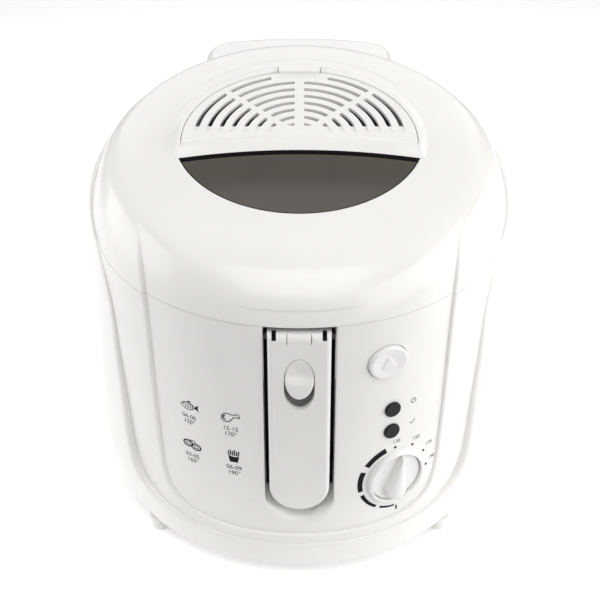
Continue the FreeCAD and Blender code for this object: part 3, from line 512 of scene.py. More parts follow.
for f in fo:
    c = flat[list(f)].mean(0)
    g = (c - HOLE_C) / np.array([REL_W / 2 + 0.95, REL_H / 2 + 0.95])
    if (g ** 2).sum() < 0.999:
        continue
    # inside the removed area: a level line from the middle of the face crosses its border an odd number of times
    e0, e1 = loop[:, 0], loop[:, 1]
    span = (e0[:, 1] > c[1]) != (e1[:, 1] > c[1])
    xs_ = e0[:, 0] + (c[1] - e0[:, 1]) / np.where(span, e1[:, 1] - e0[:, 1], 1.0) * (e1[:, 0] - e0[:, 0])
    if (span & (xs_ > c[0])).sum() % 2 == 0:
        continue
    tri = [int(new[i]) for i in f]
    v = np.concatenate(body.v)
    nrm = np.cross(v[tri[1]] - v[tri[0]], v[tri[2]] - v[tri[0]])
    if nrm @ from_axis(v[tri[0]].copy()) < 0:
        tri = tri[::-1]
    body.f.append(tuple(tri))
wall = []
for inset, depth in ((0.0, 0.0), (0.28, 0.06), (0.45, 0.2), (0.5, 0.5), (0.5, 6.0)):
    t = 2 * np.pi * np.arange(NH) / NH
    aa = HOLE_C[0] + (REL_W / 2 + 0.95 - inset) * np.cos(t)
    zz = HOLE_C[1] + (REL_H / 2 + 0.95 - inset) * np.sin(t)
    wall.append(on_panel(aa, zz, R_PANEL - depth))
body.grid(np.array(wall), lambda m: np.stack([m[:, 0] * 0, m[:, 1] * 0, REL_Z - m[:, 2]], 1), wrap=True)

# recess: rounded edge goes on into its walls; the lower end is a ramp
edge_row = rows[0].copy()
frac = np.array([0.0, 0.12, 0.3, 0.5, 0.75, 1.0])
ramp_h = 10.0 * np.clip(1 - tt / tt[NB - 1], 0, 1) ** 0.7
cx, cz = C0[:, 0], C0[:, 1]
xr, zr = edge_row[:, 0], edge_row[:, 2]
y0 = edge_row[:, 1]
rec = []
for f in frac:
    y = y0 + (REC_BACK - y0) * f
    e = f ** 1.5
    ctr = np.array([0.0, REC_END + REC_HALF])
    dirx, dirz = ctr[0] - xr, np.where(zr < ctr[1], ctr[1] - zr, 0.0)
    ln = np.maximum(np.hypot(dirx, dirz), 1e-9)
    ux, uz = np.where(zr < ctr[1], dirx / ln, 0.0), np.where(zr < ctr[1], dirz / ln, 0.0)
    rec.append(np.stack([xr + ux * ramp_h * e, y, zr + uz * ramp_h * e], -1))
rec = np.array(rec)
recm = rec[:, ::-1].copy()
recm[:, :, 0] *= -1
REC = np.concatenate([recm, rec[:, 1:]], 1)
body.grid(REC, lambda m: np.stack([-m[:, 0], 0 * m[:, 0], 90 - m[:, 2]], 1))
last = rec[-1]
# back of the recess: a slot for the lift arm in the middle and a narrow one along each side
slot_x = np.array([-30.0, -21.1, -17.3, -12.0, -8.0, -4.0, 0.0, 4.0, 8.0, 12.0, 17.3, 21.1, 30.0])
g = np.array([np.stack([np.clip(slot_x, -x, x), np.full(13, y), np.full(13, z_)], -1) for x, y, z_ in last])
mz = (g[:-1, :-1, 2] + g[1:, 1:, 2]) / 2
mx_ = np.abs((g[:-1, :-1, 0] + g[1:, 1:, 0]) / 2)
body.grid(g, (0, -1, 0), skip=((mx_ < 7.5) & (mz > 97) & (mz < 181)) | ((mx_ > 17.4) & (mx_ < 21.0) & (mz > 52) & (mz < 178)))

# rear half of the wall
TB = np.linspace(TH_SIDE, math.pi, 58)
col = []
for t_ in TB:
    q = uu * top_q(t_)
    r, z = prof(q)
    zt = seam(YC - 134 * math.cos(t_)) - 0.4
    x_ = abs(r[-1] * math.sin(t_))
    bay = 226.3 if x_ < 67.2 else 1e9
    z = np.minimum(z, bay)
    col.append(to_xyz(np.full(NS, t_), z, r))
col = np.array(col).transpose(1, 0, 2)
body.grid(col, from_axis)
colm = col.copy()
colm[:, :, 0] *= -1
body.grid(colm, from_axis)

# top rim of the wall: the ends of all rows, then the rear columns
top_r = np.concatenate([rows[:, -1], col[-1, 1:]])
top_l = top_r[::-1].copy()
top_l[:, 0] *= -1
top = np.concatenate([top_r, top_l[1:]])
d = top - np.array([0, YC, 0])
rr = np.hypot(d[:, 0], d[:, 1])
ux, uy = d[:, 0] / rr, d[:, 1] / rr
front = np.clip((-uy - 0.2) / 0.5, 0, 1)
r_in = np.where(rr < 132.5, 128.3, np.where(rr < 133.6, 129.0, rr - 3.1))
rim = []
for inset, dz in ((0, 0.0), (0.22, 0.18), (0.75, 0.3), (1.2, 0.3)):
    rim.append(np.stack([(rr - inset) * ux, YC + (rr - inset) * uy, top[:, 2] + dz], -1))
for dz in (0.3, -1.0, -12.0):
    zz = np.maximum(top[:, 2] + dz, 178.0)
    rim.append(np.stack([r_in * ux, YC + r_in * uy, zz], -1))
rim.append(np.stack([127.7 * ux, YC + 127.7 * uy, np.full(len(top), 182.0)], -1))
rim.append(np.stack([127.7 * ux, YC + 127.7 * uy, np.full(len(top), 150.0)], -1))
body.grid(np.array(rim), lambda m: np.array([0, 0, 1.0]) * np.ones((len(m), 3)) - 0.2 * from_axis(m.copy()) / 130)

# base edge: turned under
bt = np.linspace(0, 2 * np.pi, 240, endpoint=False)
under = [to_xyz(bt, np.full(240, z_), np.full(240, r_)) for r_, z_ in ((110.9, 0.0), (110.6, 0.3), (110.6, 3.0))]
body.grid(np.array(under), lambda m: -from_axis(m.copy()), wrap=True)

# hinge tower at the rear, with a flared foot on the wall and a trough on top


def tower_outline():
    pts = [(58.0, 96.0), (71.0, 108.5)]
    for a_ in np.linspace(0, 90, 9):
        pts.append((71.0 - 7.0 * math.sin(rad(a_)), 109.0 + 7.5 * (1 - math.cos(rad(a_)))))
    for y_ in (119.0, 122.0, 125.0):
        pts.append((64.0, y_))
    for a_ in np.linspace(0, 90, 14):
        pts.append((48.0 + 16.0 * math.cos(rad(a_)), 127.1 + 16.0 * math.sin(rad(a_))))
    for x_ in (40.0, 30.0, 20.0, 10.0):
        pts.append((x_, 143.1))
    r_ = np.array(pts)
    l_ = r_[::-1].copy()
    l_[:, 0] *= -1
    return np.concatenate([r_, [[0.0, 143.1]], l_])


TO = tower_outline()


def trough(y):
    return np.minimum(221.8, HINGE_Z - np.sqrt(np.maximum(19.6 ** 2 - (y - HINGE_Y) ** 2, 0.0)))


cen = np.array([0.0, 112.0])
tw = []
for inset, zf in ((9.0, ("b", 20.2)), (5.0, ("b", 21.0)), (2.0, ("b", 23.0)), (0.5, ("b", 27.0)), (0.0, ("b", 33.0)),
                  *[(0.0, ("f", k / 14.0)) for k in range(1, 14)], (0.0, ("t", -1.2)), (0.3, ("t", -0.35)), (1.2, ("t", 0.0))):
    c = TO - cen
    ln = np.linalg.norm(c, axis=1)[:, None]
    p = TO - c / ln * inset
    tz = trough(p[:, 1])
    zz = {"b": lambda v: np.full(len(p), v), "f": lambda v: 33.0 + (tz - 1.2 - 33.0) * v, "t": lambda v: tz + v}[zf[0]](zf[1])
    tw.append(np.stack([p[:, 0], p[:, 1], zz], -1))
tw = np.array(tw)
body.grid(tw, lambda m: np.stack([m[:, 0] * 0.3, np.ones(len(m)) * 10, m[:, 2] * 0], 1))
cap = []
inner = tw[-1]
for f in np.linspace(0, 1, 9):
    # towards the middle line of the tower
    p = inner.copy()
    p[:, 0] *= 1 - f
    p[:, 2] = trough(p[:, 1])
    cap.append(p)
body.grid(np.array(cap), (0, 0, 1))
under = tw[0]
body.grid(np.array([np.stack([under[:, 0] * (1 - f), under[:, 1], under[:, 2]], -1) for f in (0, 0.5, 1.0)]), (0, 0, -1))

piece("housing", body.mesh("housing", angle=36), WHITE, "base", ["outer_housing"])

# ------------------------------------------------------------------ lid
DISC = (0.0, 0.9)
R_FRONT = 132.5


def crown(x, y):
    rho2 = x * x + (y - YC) ** 2
    return 244.5 + 0.1706 * (y - YC) - rho2 / 3200.0


def lid_height(rho, phi):
    """height of the smooth lid at plan radius rho in direction phi (0 is the front)"""
    x, y = rho * np.sin(phi), YC - rho * np.cos(phi)
    c = crown(x, y)
    rs = 131.2
    w = smoothstep(rad(8), rad(50), np.abs(phi))
    lim = R_FRONT * (1 - w) + rs * w
    far = smoothstep(86.0, 100.0, rho)
    rf, rr = rho * (1 + (R_FRONT / lim - 1) * far), rho * (1 + (rs / lim - 1) * far)
    rc = R_FRONT - 38.0
    zc = 244.5 - (rc + 2.2) ** 2 / 3200.0 - 37.93
    tilt = 0.1706 * (y - YC)
    arc = zc + np.sqrt(np.maximum(38.0 ** 2 - np.maximum(rf - rc, 0) ** 2, 0)) + tilt
    zf = np.where(rf > rc + 2.2, arc, 244.5 + tilt - rf * rf / 3200.0)
    g = np.maximum(1 - np.minimum(rr / rs, 1) ** 10, 0) ** (1 / 2.07)
    zse = 190.0 + (58.0 + tilt) * g
    zs = smin(c, zse, 5.0)
    return np.where(rho > lim, -1e3, zf * (1 - w) + zs * w)


def win_rear(x):
    """rear edge of the window, bowed"""
    return -20.0 - (488.0 - np.sqrt(488.0 ** 2 - x * x))


def ridge(x):
    """upper edge of the slanted wall behind the window"""
    return -10.62 - (364.0 - np.sqrt(364.0 ** 2 - x * x))


def plateau(x, y):
    """rise of the filter bay above the crown"""
    top = 249.0 + 0.1706 * (y - 1.7) - crown(x, y)
    r_in = np.hypot(x, y + 11.0) - 76.0
    r_out = 80.6 - np.hypot(x, y + 4.5)
    arc = np.where(r_in > 0, r_out / np.maximum(r_out + r_in, 1e-6), 1 - r_in / 6.0)
    arc = np.where(r_out < 0, r_out / 6.0, arc)
    fr = (y - win_rear(x)) / (ridge(x) - win_rear(x))
    d = smin(np.clip(arc, -1, 3), np.clip(fr, -1, 3), 0.55)
    e = np.clip(d, 0, 1)
    e = np.where(d > 1, 1, (e * e * (3 - 2 * e)) * 0.5 + 0.5 * e)
    return np.maximum(top, 0) * e


def lid_dents(x, y):
    """finger hollow behind the lifting tab"""
    return -1.9 * np.exp(-((x / 6.4) ** 4) - ((y - 70.5) / 4.2) ** 2)


def block_sdf(x, y, z):
    """rounded rear extension of the lid"""
    hx, rc, rt = 66.3, 17.0, 8.0
    q0 = np.abs(x) - (hx - rc)
    q1 = y - (143.0 - rc)
    pl = np.hypot(np.maximum(q0, 0), np.maximum(q1, 0)) + np.minimum(np.maximum(q0, q1), 0) - rc
    v0 = pl + rt
    v1 = z - (250.0 - 4.0 * np.minimum(np.abs(x) / 60.0, 1.1) ** 2 - rt)
    return np.hypot(np.maximum(v0, 0), np.maximum(v1, 0)) + np.minimum(np.maximum(v0, v1), 0) - rt


def seg_dist(p, a_, b_):
    ab = b_ - a_
    t = np.clip(((p[:, None] - a_) * ab).sum(-1) / np.maximum((ab * ab).sum(-1), 1e-12), 0, 1)
    return np.linalg.norm(p[:, None] - (a_ + t[..., None] * ab), axis=-1).min(1)


def lid_seam(phi, rho):
    y = YC - rho * np.cos(phi)
    return seam(y) + 0.4


def lid_profile(phi):
    """dense (rho, z) line of the lid from the disc outwards and down to its lower edge"""
    rin = 60.0
    u = np.linspace(0, 1, 700)
    wl = float(smoothstep(rad(8), rad(50), abs(phi)))
    rho = rin + (R_FRONT * (1 - wl) + 131.2 * wl - 1e-4 - rin) * np.sin(u * math.pi / 2)
    z = lid_height(rho, np.full(700, phi))
    ok = z > 100
    rho, z = rho[ok], z[ok]
    rho, z = np.r_[rho, rho[-1]], np.r_[z, 175.0]
    back_a = math.pi - abs(phi)
    if back_a < rad(52):
        base_line = np.stack([rho, z], 1)[::4]
        base_line = np.concatenate([base_line, [[rho[-1], 170.0]]])
        o = np.array([70.0, 205.0])
        ang = np.concatenate([np.linspace(rad(97), rad(30), 90), np.linspace(rad(30), rad(-12), 150)[1:]])
        dr = np.stack([np.cos(ang), np.sin(ang)], 1)
        lo, hi = np.full(len(ang), 5.0), np.full(len(ang), 110.0)

        def field(p):
            h = lid_height(np.minimum(p[:, 0], R_FRONT - 1e-3), np.full(len(p), phi))
            dd = seg_dist(p, base_line[:-1], base_line[1:])
            inside = (p[:, 1] < h) & (p[:, 0] < rho[-1])
            fd = np.where(inside, -dd, dd)
            x, y = p[:, 0] * math.sin(phi), YC - p[:, 0] * math.cos(phi)
            return smin(fd, block_sdf(x, y, p[:, 1]), 10.0)
        for _ in range(26):
            m = (lo + hi) / 2
            f = field(o + dr * m[:, None])
            lo, hi = np.where(f < 0, m, lo), np.where(f < 0, hi, m)
        p = o + dr * ((lo + hi) / 2)[:, None]
        rho, z = p[:, 0], p[:, 1]
    # lower edge
    k = np.arange(len(rho))
    end = lid_seam(phi, rho)
    xx = rho * np.abs(np.sin(phi))
    if back_a < rad(52):
        w = smoothstep(71.0, 67.0, xx) * (rho > 100)
        end = end * (1 - w) + (227.2 + 3.6 * smoothstep(42.0, 38.0, xx)) * w      # room for the bracket when the lid is open
    below = np.where((z < end) & (rho > 100))[0]
    if len(below):
        j = below[0]
        f = (z[j - 1] - end[j - 1]) / max((z[j - 1] - end[j - 1]) - (z[j] - end[j]), 1e-9)
        rho = np.r_[rho[:j], rho[j - 1] + f * (rho[j] - rho[j - 1])]
        z = np.r_[z[:j], z[j - 1] + f * (z[j] - z[j - 1])]
    return np.stack([rho, z], 1)


def inner_radius(phi, r_disc, cy=DISC[1]):
    """plan radius at which the direction phi leaves the circle of radius r_disc about (0, cy)"""
    c, dy = np.cos(phi), cy - YC
    b = -c * dy
    return b + np.sqrt(b * b - dy * dy + r_disc ** 2)


dense = np.linspace(rad(41.5), rad(54), 58)
rear = np.linspace(rad(140), rad(162), 56)
x_tip = 75.0
for _ in range(20):
    x_tip = math.sqrt(78.9 ** 2 - (float(win_rear(x_tip)) - DISC[1]) ** 2)
PHI_TIP = math.atan2(x_tip, YC - float(win_rear(x_tip)))
PHI = np.concatenate([np.linspace(0, rad(41.5), 34), dense[1:], np.linspace(rad(54), PHI_TIP, 16)[1:], np.linspace(PHI_TIP, rad(95), 34)[1:],
                      np.linspace(rad(95), rad(140), 30)[1:], rear[1:], np.linspace(rad(162), math.pi, 40)[1:]])
lid = Skin()
UA, UB, UC = np.linspace(0, 1, 15), np.linspace(0, 1, 17)[1:], np.linspace(0, 1, 50)[1:]
half_rows = []
for phi in PHI:
    prof_l = lid_profile(phi)
    r_edge = inner_radius(phi, 82.6)
    rho, z = prof_l[:, 0], prof_l[:, 1]
    s = np.r_[0, np.cumsum(np.hypot(np.diff(rho), np.diff(z)))]
    s1 = np.interp(r_edge, rho[:np.argmax(rho) + 1], s[:np.argmax(rho) + 1])
    s2 = np.interp(112.0, rho[:np.argmax(rho) + 1], s[:np.argmax(rho) + 1])
    s3 = np.interp(121.0, rho[:np.argmax(rho) + 1], s[:np.argmax(rho) + 1])
    at = np.concatenate([s1 + (s2 - s1) * UA, s2 + (s3 - s2) * UB, s3 + (s[-1] - s3) * UC])
    half_rows.append(np.stack([np.interp(at, s, rho), np.interp(at, s, z)], 1))
L = np.array(half_rows)                              # columns x rows x (rho, z)
PX = L[:, :, 0] * np.sin(PHI)[:, None]
PY = YC - L[:, :, 0] * np.cos(PHI)[:, None]
P = np.stack([PX, PY, L[:, :, 1]], -1)
# outward normals of the smooth lid, for the raised cheeks
du = np.gradient(P, axis=0)
dv = np.gradient(P, axis=1)
nr = np.cross(du, dv)
nr /= np.maximum(np.linalg.norm(nr, axis=-1, keepdims=True), 1e-9)
flip = np.sign((nr * (P - np.array([0, 0, 150.0]))).sum(-1, keepdims=True))
nr *= flip
xline = 90.6 + 2.6 * smoothstep(190, 224, P[..., 2])
d1 = L[:, :, 0] - 116.6
d2 = P[..., 0] - xline
dch = smin(d1, d2, 11.0)
wall_part = smoothstep(119.5, 126.0, L[:, :, 0])
w_step = 5.2 - 3.4 * wall_part * smoothstep(222, 205, P[..., 2])
amount = 1.15 + 0.85 * smoothstep(226, 200, P[..., 2])
amount = amount * smoothstep(rad(150), rad(118), PHI)[:, None]
u = np.clip(dch / w_step, 0, 1)
soft = u * u * (3 - 2 * u)
rise = soft * (1 - wall_part) + quarter(u) * wall_part
P = P + nr * (rise * amount)[..., None]
P[..., 2] += lid_dents(P[..., 0], P[..., 1])

# inward rows: window edge at the front, filter bay at the rear
k0 = int(np.argmin(np.abs(PHI - PHI_TIP)))
# outer edge downwards: rounded, then inside
Zl = P[:, -1]
dirs = np.stack([np.sin(PHI), -np.cos(PHI), 0 * PHI], -1)
edge_rows = []
for inset, dz in ((0.2, -0.15), (0.7, -0.3), (2.6, -0.3), (2.9, 0.6), (3.0, 10.0)):
    e = Zl - dirs * inset
    e[:, 2] += dz
    edge_rows.append(e)
Pfull = np.concatenate([P, np.array(edge_rows).transpose(1, 0, 2)], 1)


def both(g):
    m = g[::-1].copy()
    m[..., 0] *= -1
    return m


def up_out(m):
    return np.stack([m[:, 0], m[:, 1] - YC, np.full(len(m), 60.0)], 1)


full = np.concatenate([both(Pfull)[:-1], Pfull], 0)
# PHI runs 0..180, so the mirrored half joins at the front and at the rear
nP = P.shape[1]
lid.grid(full[:, :nP], up_out)
lid.grid(full[:, nP - 1:], lambda m: np.stack([-m[:, 0], -(m[:, 1] - YC), np.full(len(m), -60.0)], 1))

# window edge: columns at the front
w = PHI[:k0 + 1]
win = []
for rd, dz in ((82.6, 0.0), (81.2, 0.0), (80.2, 0.0), (79.6, -0.12), (79.1, -0.5), (78.9, -1.1), (78.9, -3.0)):
    r = inner_radius(w, rd)
    x, y = r * np.sin(w), YC - r * np.cos(w)
    win.append(np.stack([x, y, crown(x, y) + dz], -1))
win = np.array(win)
win[0] = P[:k0 + 1, 0]
lid.grid(np.concatenate([both(win.transpose(1, 0, 2))[:-1], win.transpose(1, 0, 2)], 0), (0, 0, 1))
# filter bay ring: columns at the rear, from the outer limit in to the seam round the cover
SEAM_R, SEAM_C = 74.15, -13.0
w = PHI[k0:]
r_o, r_i = inner_radius(w, 82.6), inner_radius(w, SEAM_R, SEAM_C)


def bay_top(x, y):
    z_ = crown(x, y) + plateau(x, y) + lid_dents(x, y)
    return z_ - 2.3 * smoothstep(14.5, 14.1, np.abs(x)) * smoothstep(50.0, 51.0, y) * smoothstep(66.6, 66.0, y)


bay = []
for v in np.r_[np.linspace(0, 0.97, 40), 1.0]:
    r = r_o + (r_i - r_o) * v
    x, y = r * np.sin(w), YC - r * np.cos(w)
    bay.append(np.stack([x, y, bay_top(x, y) - (0.12 if v == 1.0 else 0.0)], -1))
bay[0] = P[k0:, 0]
edge = bay[-1].copy()
for dr, dz in ((0.06, 0.4), (0.06, 6.0)):
    e = edge.copy()
    e[:, 0] -= dr * np.sin(w)
    e[:, 1] += dr * np.cos(w)
    e[:, 2] -= dz
    bay.append(e)
sel = np.array(bay).transpose(1, 0, 2)
lid.grid(sel, (0, 0, 1))
m = sel.copy()
m[..., 0] *= -1
lid.grid(m, (0, 0, 1))
# front end of the ring, down to the window
end = sel[0, :-2]
for sx in (1, -1):
    e = end * np.array([sx, 1, 1])
    lid.grid(np.array([e, e + np.array([0, 0.25, -0.4]), e + np.array([0, 0.4, -4.0])]), (0, -1, 0.1))
# slanted wall between window and filter cover; its rows end on the ring's columns
inner = sel[:, -3]
vj = (inner[:, 1] - win_rear(inner[:, 0])) / (ridge(inner[:, 0]) - 0.35 - win_rear(inner[:, 0]))
cj = np.where((vj > 0.005) & (vj < 0.995))[0]
XN = np.sin(np.linspace(-1, 1, 73) * math.pi / 2)
bar = []
for v in np.r_[0.0, vj[cj], 1.0]:
    xb = 73.0
    for _ in range(30):
        yb = float(win_rear(xb)) + v * (float(ridge(xb)) - 0.35 - float(win_rear(xb)))
        xb = math.sqrt(SEAM_R ** 2 - (yb - SEAM_C) ** 2)
    x = xb * XN
    y = win_rear(x) + v * (ridge(x) - 0.35 - win_rear(x))
    bar.append(np.stack([x, y, bay_top(x, y)], -1))
for k, j in enumerate(cj):
    bar[k + 1][-1] = inner[j]
    bar[k + 1][0] = inner[j] * np.array([-1, 1, 1])
low = [bar[0] + np.array([0, 0.5, -4.2]), bar[0] + np.array([0, 0.35, -0.7]), bar[0] + np.array([0, 0.1, -0.2])]
high = [bar[-1] + np.array([0, 0.12, -0.22]), bar[-1] + np.array([0, 0.14, -2.4])]
lid.grid(np.array(low + bar + high), (0, -0.5, 1))

# hinge lugs under the rear extension
for sx in (-1, 1):
    prof_pts = [(HINGE_Y + 8 * math.cos(t), HINGE_Z + 8 * math.sin(t)) for t in np.linspace(math.pi, 2 * math.pi, 25)]
    prof_pts = [(HINGE_Y - 8, 245.0)] + prof_pts + [(HINGE_Y + 8, 245.0)]
    pr = np.array(prof_pts)
    sect = []
    for xx, sc in ((-3.5, 0.93), (-3.1, 1.0), (3.1, 1.0), (3.5, 0.93)):
        c = np.array([HINGE_Y, HINGE_Z])
        q = c + (pr - c) * sc
        sect.append(np.stack([np.full(len(q), sx * 43 + xx), q[:, 0], q[:, 1]], -1))
    lid.grid(np.array(sect), lambda m: np.stack([0 * m[:, 0], m[:, 1] - HINGE_Y, m[:, 2] - HINGE_Z], 1))
    for k in (0, -1):
        cpt = sect[k].mean(0)
        lid.grid(np.array([sect[k], np.repeat(cpt[None], len(pr), 0) * 0.5 + sect[k] * 0.5, np.repeat(cpt[None], len(pr), 0)]),
                 (-1 if k == 0 else 1, 0, 0))

lid_me = lid.mesh("lid", angle=44)
piece("lid", lid_me, [LIDW, PAINTED_SHADE_BLACK], "lid", ["lid_shell"])
# painted shade: the faces in the gap behind the window get the black material for the shadow there
for q in lid_me.polygons:
    x_, y_, z_ = (v / MM for v in q.center)
    if abs(x_) < 74.5 and abs(y_ - win_rear(x_)) < 1.2 and q.normal.y < -0.6 and z_ - LIFT < crown(x_, y_) - 0.12:
        q.material_index = 1

# ------------------------------------------------------------------ control knob
def hull_of_two(c0, r0, c1, r1, n=96):
    """outline round two circles on the local y axis (c1 above c0), from the lower end round to the right"""
    a = math.asin((r0 - r1) / (c1 - c0))
    n1, n2, n3 = int(n * 0.42), int(n * 0.36), n - int(n * 0.42) - int(n * 0.36)
    lower = [(r0 * math.sin(t), c0 - r0 * math.cos(t)) for t in np.linspace(0, math.pi / 2 + a, n1, endpoint=False)]
    p0 = np.array([r0 * math.cos(a), c0 + r0 * math.sin(a)])
    p1 = np.array([r1 * math.cos(a), c1 + r1 * math.sin(a)])
    side = [tuple(p0 + (p1 - p0) * k / n2) for k in range(n2)]
    upper = [(r1 * math.cos(t), c1 + r1 * math.sin(t)) for t in np.linspace(a, math.pi / 2, n3)]
    h = np.array(lower + side + upper)
    m = h[::-1][1:-1].copy()
    m[:, 0] *= -1
    return np.concatenate([h, m])


kf, kt, ku, kn = radial_frame(KNOB_A, KNOB_Z, R_PANEL)
turn = rad(KNOB_POINT - 90.0)
KROT = np.array([[math.cos(turn), -math.sin(turn), 0], [math.sin(turn), math.cos(turn), 0], [0, 0, 1.0]])


def knob_pts(p):
    return kf(np.asarray(p, float) @ KROT.T)


TEAR = hull_of_two(-7.5, 7.7, 15.9, 0.9, 120)
nt_ = len(TEAR)
ang_t = np.arctan2(TEAR[:, 0], -(TEAR[:, 1] + 1.0))
circ = np.stack([np.sin(ang_t), -np.cos(ang_t)], 1)
kn_rows = []
for rr_, hh in ((17.1, 0.15), (17.1, 0.35), (17.02, 0.55), (16.85, 0.66), (16.45, 0.7)):
    kn_rows.append(np.concatenate([circ * rr_, np.full((nt_, 1), hh)], 1))
ring_in = circ * 16.45
for f in (0.12, 0.3, 0.5, 0.7, 0.86, 0.96):
    q = ring_in + (TEAR - ring_in) * f
    kn_rows.append(np.concatenate([q, np.full((nt_, 1), 0.7 - 0.2 * math.sin(math.pi * f))], 1))
spine = np.stack([np.zeros(nt_), np.clip(TEAR[:, 1], -7.5, 15.6)], 1)
crest = 8.9 - 4.4 * smoothstep(-9.0, 19.0, TEAR[:, 1])
for f in (0.0, 0.015, 0.04, 0.08, 0.13, 0.2, 0.28, 0.38, 0.5, 0.64, 0.8, 1.0):
    q = TEAR + (spine - TEAR) * f
    hf = (1 - (1 - f) ** 2.6) ** 0.55
    kn_rows.append(np.concatenate([q, (0.62 + (crest - 0.62) * hf)[:, None]], 1))
knob = Skin()
centre_k = kf(np.array([[0, 0, 1.0]]))[0]
knob.grid(knob_pts(np.array(kn_rows)), lambda m: (m - centre_k) + 6 * kn, wrap=True)
knob.grid(knob_pts(np.array([np.concatenate([circ * r_, np.full((nt_, 1), 0.15)], 1) for r_ in (17.1, 9.0, 3.1)])), -kn, wrap=True)
piece("control_knob", knob.mesh("control_knob", angle=58), KNOBW, "knob", ["thermostat_knob"])

# raised ring round the knob
ring = Skin()
ta = np.linspace(0, 2 * np.pi, 128, endpoint=False)
prof_r = [(20.5, -1.9), (20.3, 0.2), (20.1, 1.1), (19.75, 1.9), (19.2, 2.55), (18.6, 2.85), (18.15, 2.9), (17.8, 2.75), (17.62, 2.4), (17.6, 1.9), (17.6, -2.2)]
ring.grid(kf(np.array([np.stack([r_ * np.cos(ta), r_ * np.sin(ta), np.full(128, h_)], -1) for r_, h_ in prof_r])),
          lambda m: kn * np.ones((len(m), 3)), wrap=True)
piece("dial_ring", ring.mesh("dial_ring", angle=58), KNOBW, "base", ["dial_bezel"])

# ------------------------------------------------------------------ lid release button
bf, bt_, bu, bn = radial_frame(REL_A, REL_Z, R_PANEL)
btn = Skin()
tb = np.linspace(0, 2 * np.pi, 120, endpoint=False)
hw_, hh_ = REL_W / 2, REL_H / 2


def dome(fr):
    """height of the button's face at a fraction of its radius: a soft rim round a shallow dish"""
    return 2.55 - 0.75 * (1 - smoothstep(0.35, 0.95, fr))


brows = []
for ins, h_ in ((0.0, -5.0), (0.0, 1.0), (0.1, 1.55), (0.4, 2.1), (0.85, 2.42)):
    brows.append(np.stack([(hw_ - ins) * np.cos(tb), (hh_ - ins) * np.sin(tb), np.full(120, h_)], -1))
for fr in (0.88, 0.82, 0.75, 0.68, 0.6, 0.52, 0.44, 0.36, 0.24, 0.12, 0.0):
    brows.append(np.stack([hw_ * fr * np.cos(tb), hh_ * fr * np.sin(tb), np.full(120, dome(fr))], -1))
btn.grid(bf(np.array(brows)), lambda m: bn * np.ones((len(m), 3)), wrap=True)


# a raised arrow head on its face
def rounded(poly, r, n=9):
    out = []
    p = np.asarray(poly, float)
    for i in range(len(p)):
        a_, b_, c_ = p[i - 1], p[i], p[(i + 1) % len(p)]
        u_, v_ = (a_ - b_) / np.linalg.norm(a_ - b_), (c_ - b_) / np.linalg.norm(c_ - b_)
        half = math.acos(np.clip(u_ @ v_, -1, 1)) / 2
        d_ = r / math.tan(half)
        s_, e_ = b_ + u_ * d_, b_ + v_ * d_
        for k in range(n):
            t_ = k / (n - 1)
            out.append((1 - t_) ** 2 * s_ + 2 * t_ * (1 - t_) * b_ + t_ * t_ * e_)
    return resample(np.array(out + out[:1]), 97)[:-1]


sign = rounded([(-5.2, -3.6), (5.2, -3.6), (0.0, 5.2)], 1.3)
mid_s = sign.mean(0)
srows = []
for f, h_ in ((1.06, -0.12), (1.0, 0.28), (0.95, 0.44), (0.88, 0.5), (0.6, 0.5), (0.3, 0.5), (0.0, 0.5)):
    q = mid_s + (sign - mid_s) * f
    fr = np.hypot(q[:, 0] / hw_, q[:, 1] / hh_)
    srows.append(np.concatenate([q, (dome(fr) + h_)[:, None]], 1))
btn.grid(bf(np.array(srows)), lambda m: bn * np.ones((len(m), 3)), wrap=True)
piece("release_button", btn.mesh("release_button", angle=58), KNOBW, "release", ["lid_release_button"])

# ------------------------------------------------------------------ thumb button of the handle
thumb = Skin()
tb = np.linspace(0, 2 * np.pi, 112, endpoint=False)


def thumb_h(x, z):
    """rise over the handle's face: a hollow for the thumb above a raised pad"""
    v = (z - 154.7) / 14.1
    hollow = np.exp(-(x / 7.2) ** 2 - ((v - 0.30) / 0.40) ** 2)
    pad = smoothstep(0.12, -0.34, v - 0.10 * (x / 8.6) ** 2) * (1 - 0.30 * (x / 8.6) ** 2)
    return -0.05 - 1.75 * hollow + 1.75 * pad


trows = []
for f, drop, flat_ in ((1.0, None, 0), (1.0, 1.1, 0), (0.99, 0.62, 0), (0.965, 0.3, 0), (0.93, 0.1, 0), (0.88, 0.02, 0)):
    x, z = 8.6 * f * np.cos(tb), 154.7 + 14.1 * f * np.sin(tb)
    y = np.full(112, -136.5) if drop is None else -139.6 - thumb_h(x, z) + drop
    trows.append(np.stack([x, np.minimum(y, -136.5), z], -1))
for f in np.linspace(0.83, 0.0, 24):
    x, z = 8.6 * f * np.cos(tb), 154.7 + 14.1 * f * np.sin(tb)
    trows.append(np.stack([x, -139.6 - thumb_h(x, z), z], -1))
thumb.grid(np.array(trows), lambda m: np.array([0, -1.0, 0]) * np.ones((len(m), 3)), wrap=True)
thumb.grid(np.array([trows[0], np.stack([0 * tb, np.full(112, -136.5), np.full(112, 154.7)], -1)]), (0, 1, 0), wrap=True)
for x0, x1, y0, y1, z0, z1 in ((-2.8, 2.8, -137.0, -131.0, 150.0, 163.0),):
    c8 = np.array([[(x, y, z) for y in (y0, y1)] for x, z in ((x0, z0), (x1, z0), (x1, z1), (x0, z1), (x0, z0))])
    thumb.grid(c8.transpose(1, 0, 2), lambda m: m - np.array([0, -134.0, 156.5]))
    thumb.grid(np.array([[(x0, y1, z0), (x1, y1, z0)], [(x0, y1, z1), (x1, y1, z1)]]), (0, 1, 0))
piece("thumb_button", thumb.mesh("thumb_button", angle=58), HANDLE, "handle_button", ["handle_button"])

# ------------------------------------------------------------------ wire basket
wb = Skin()


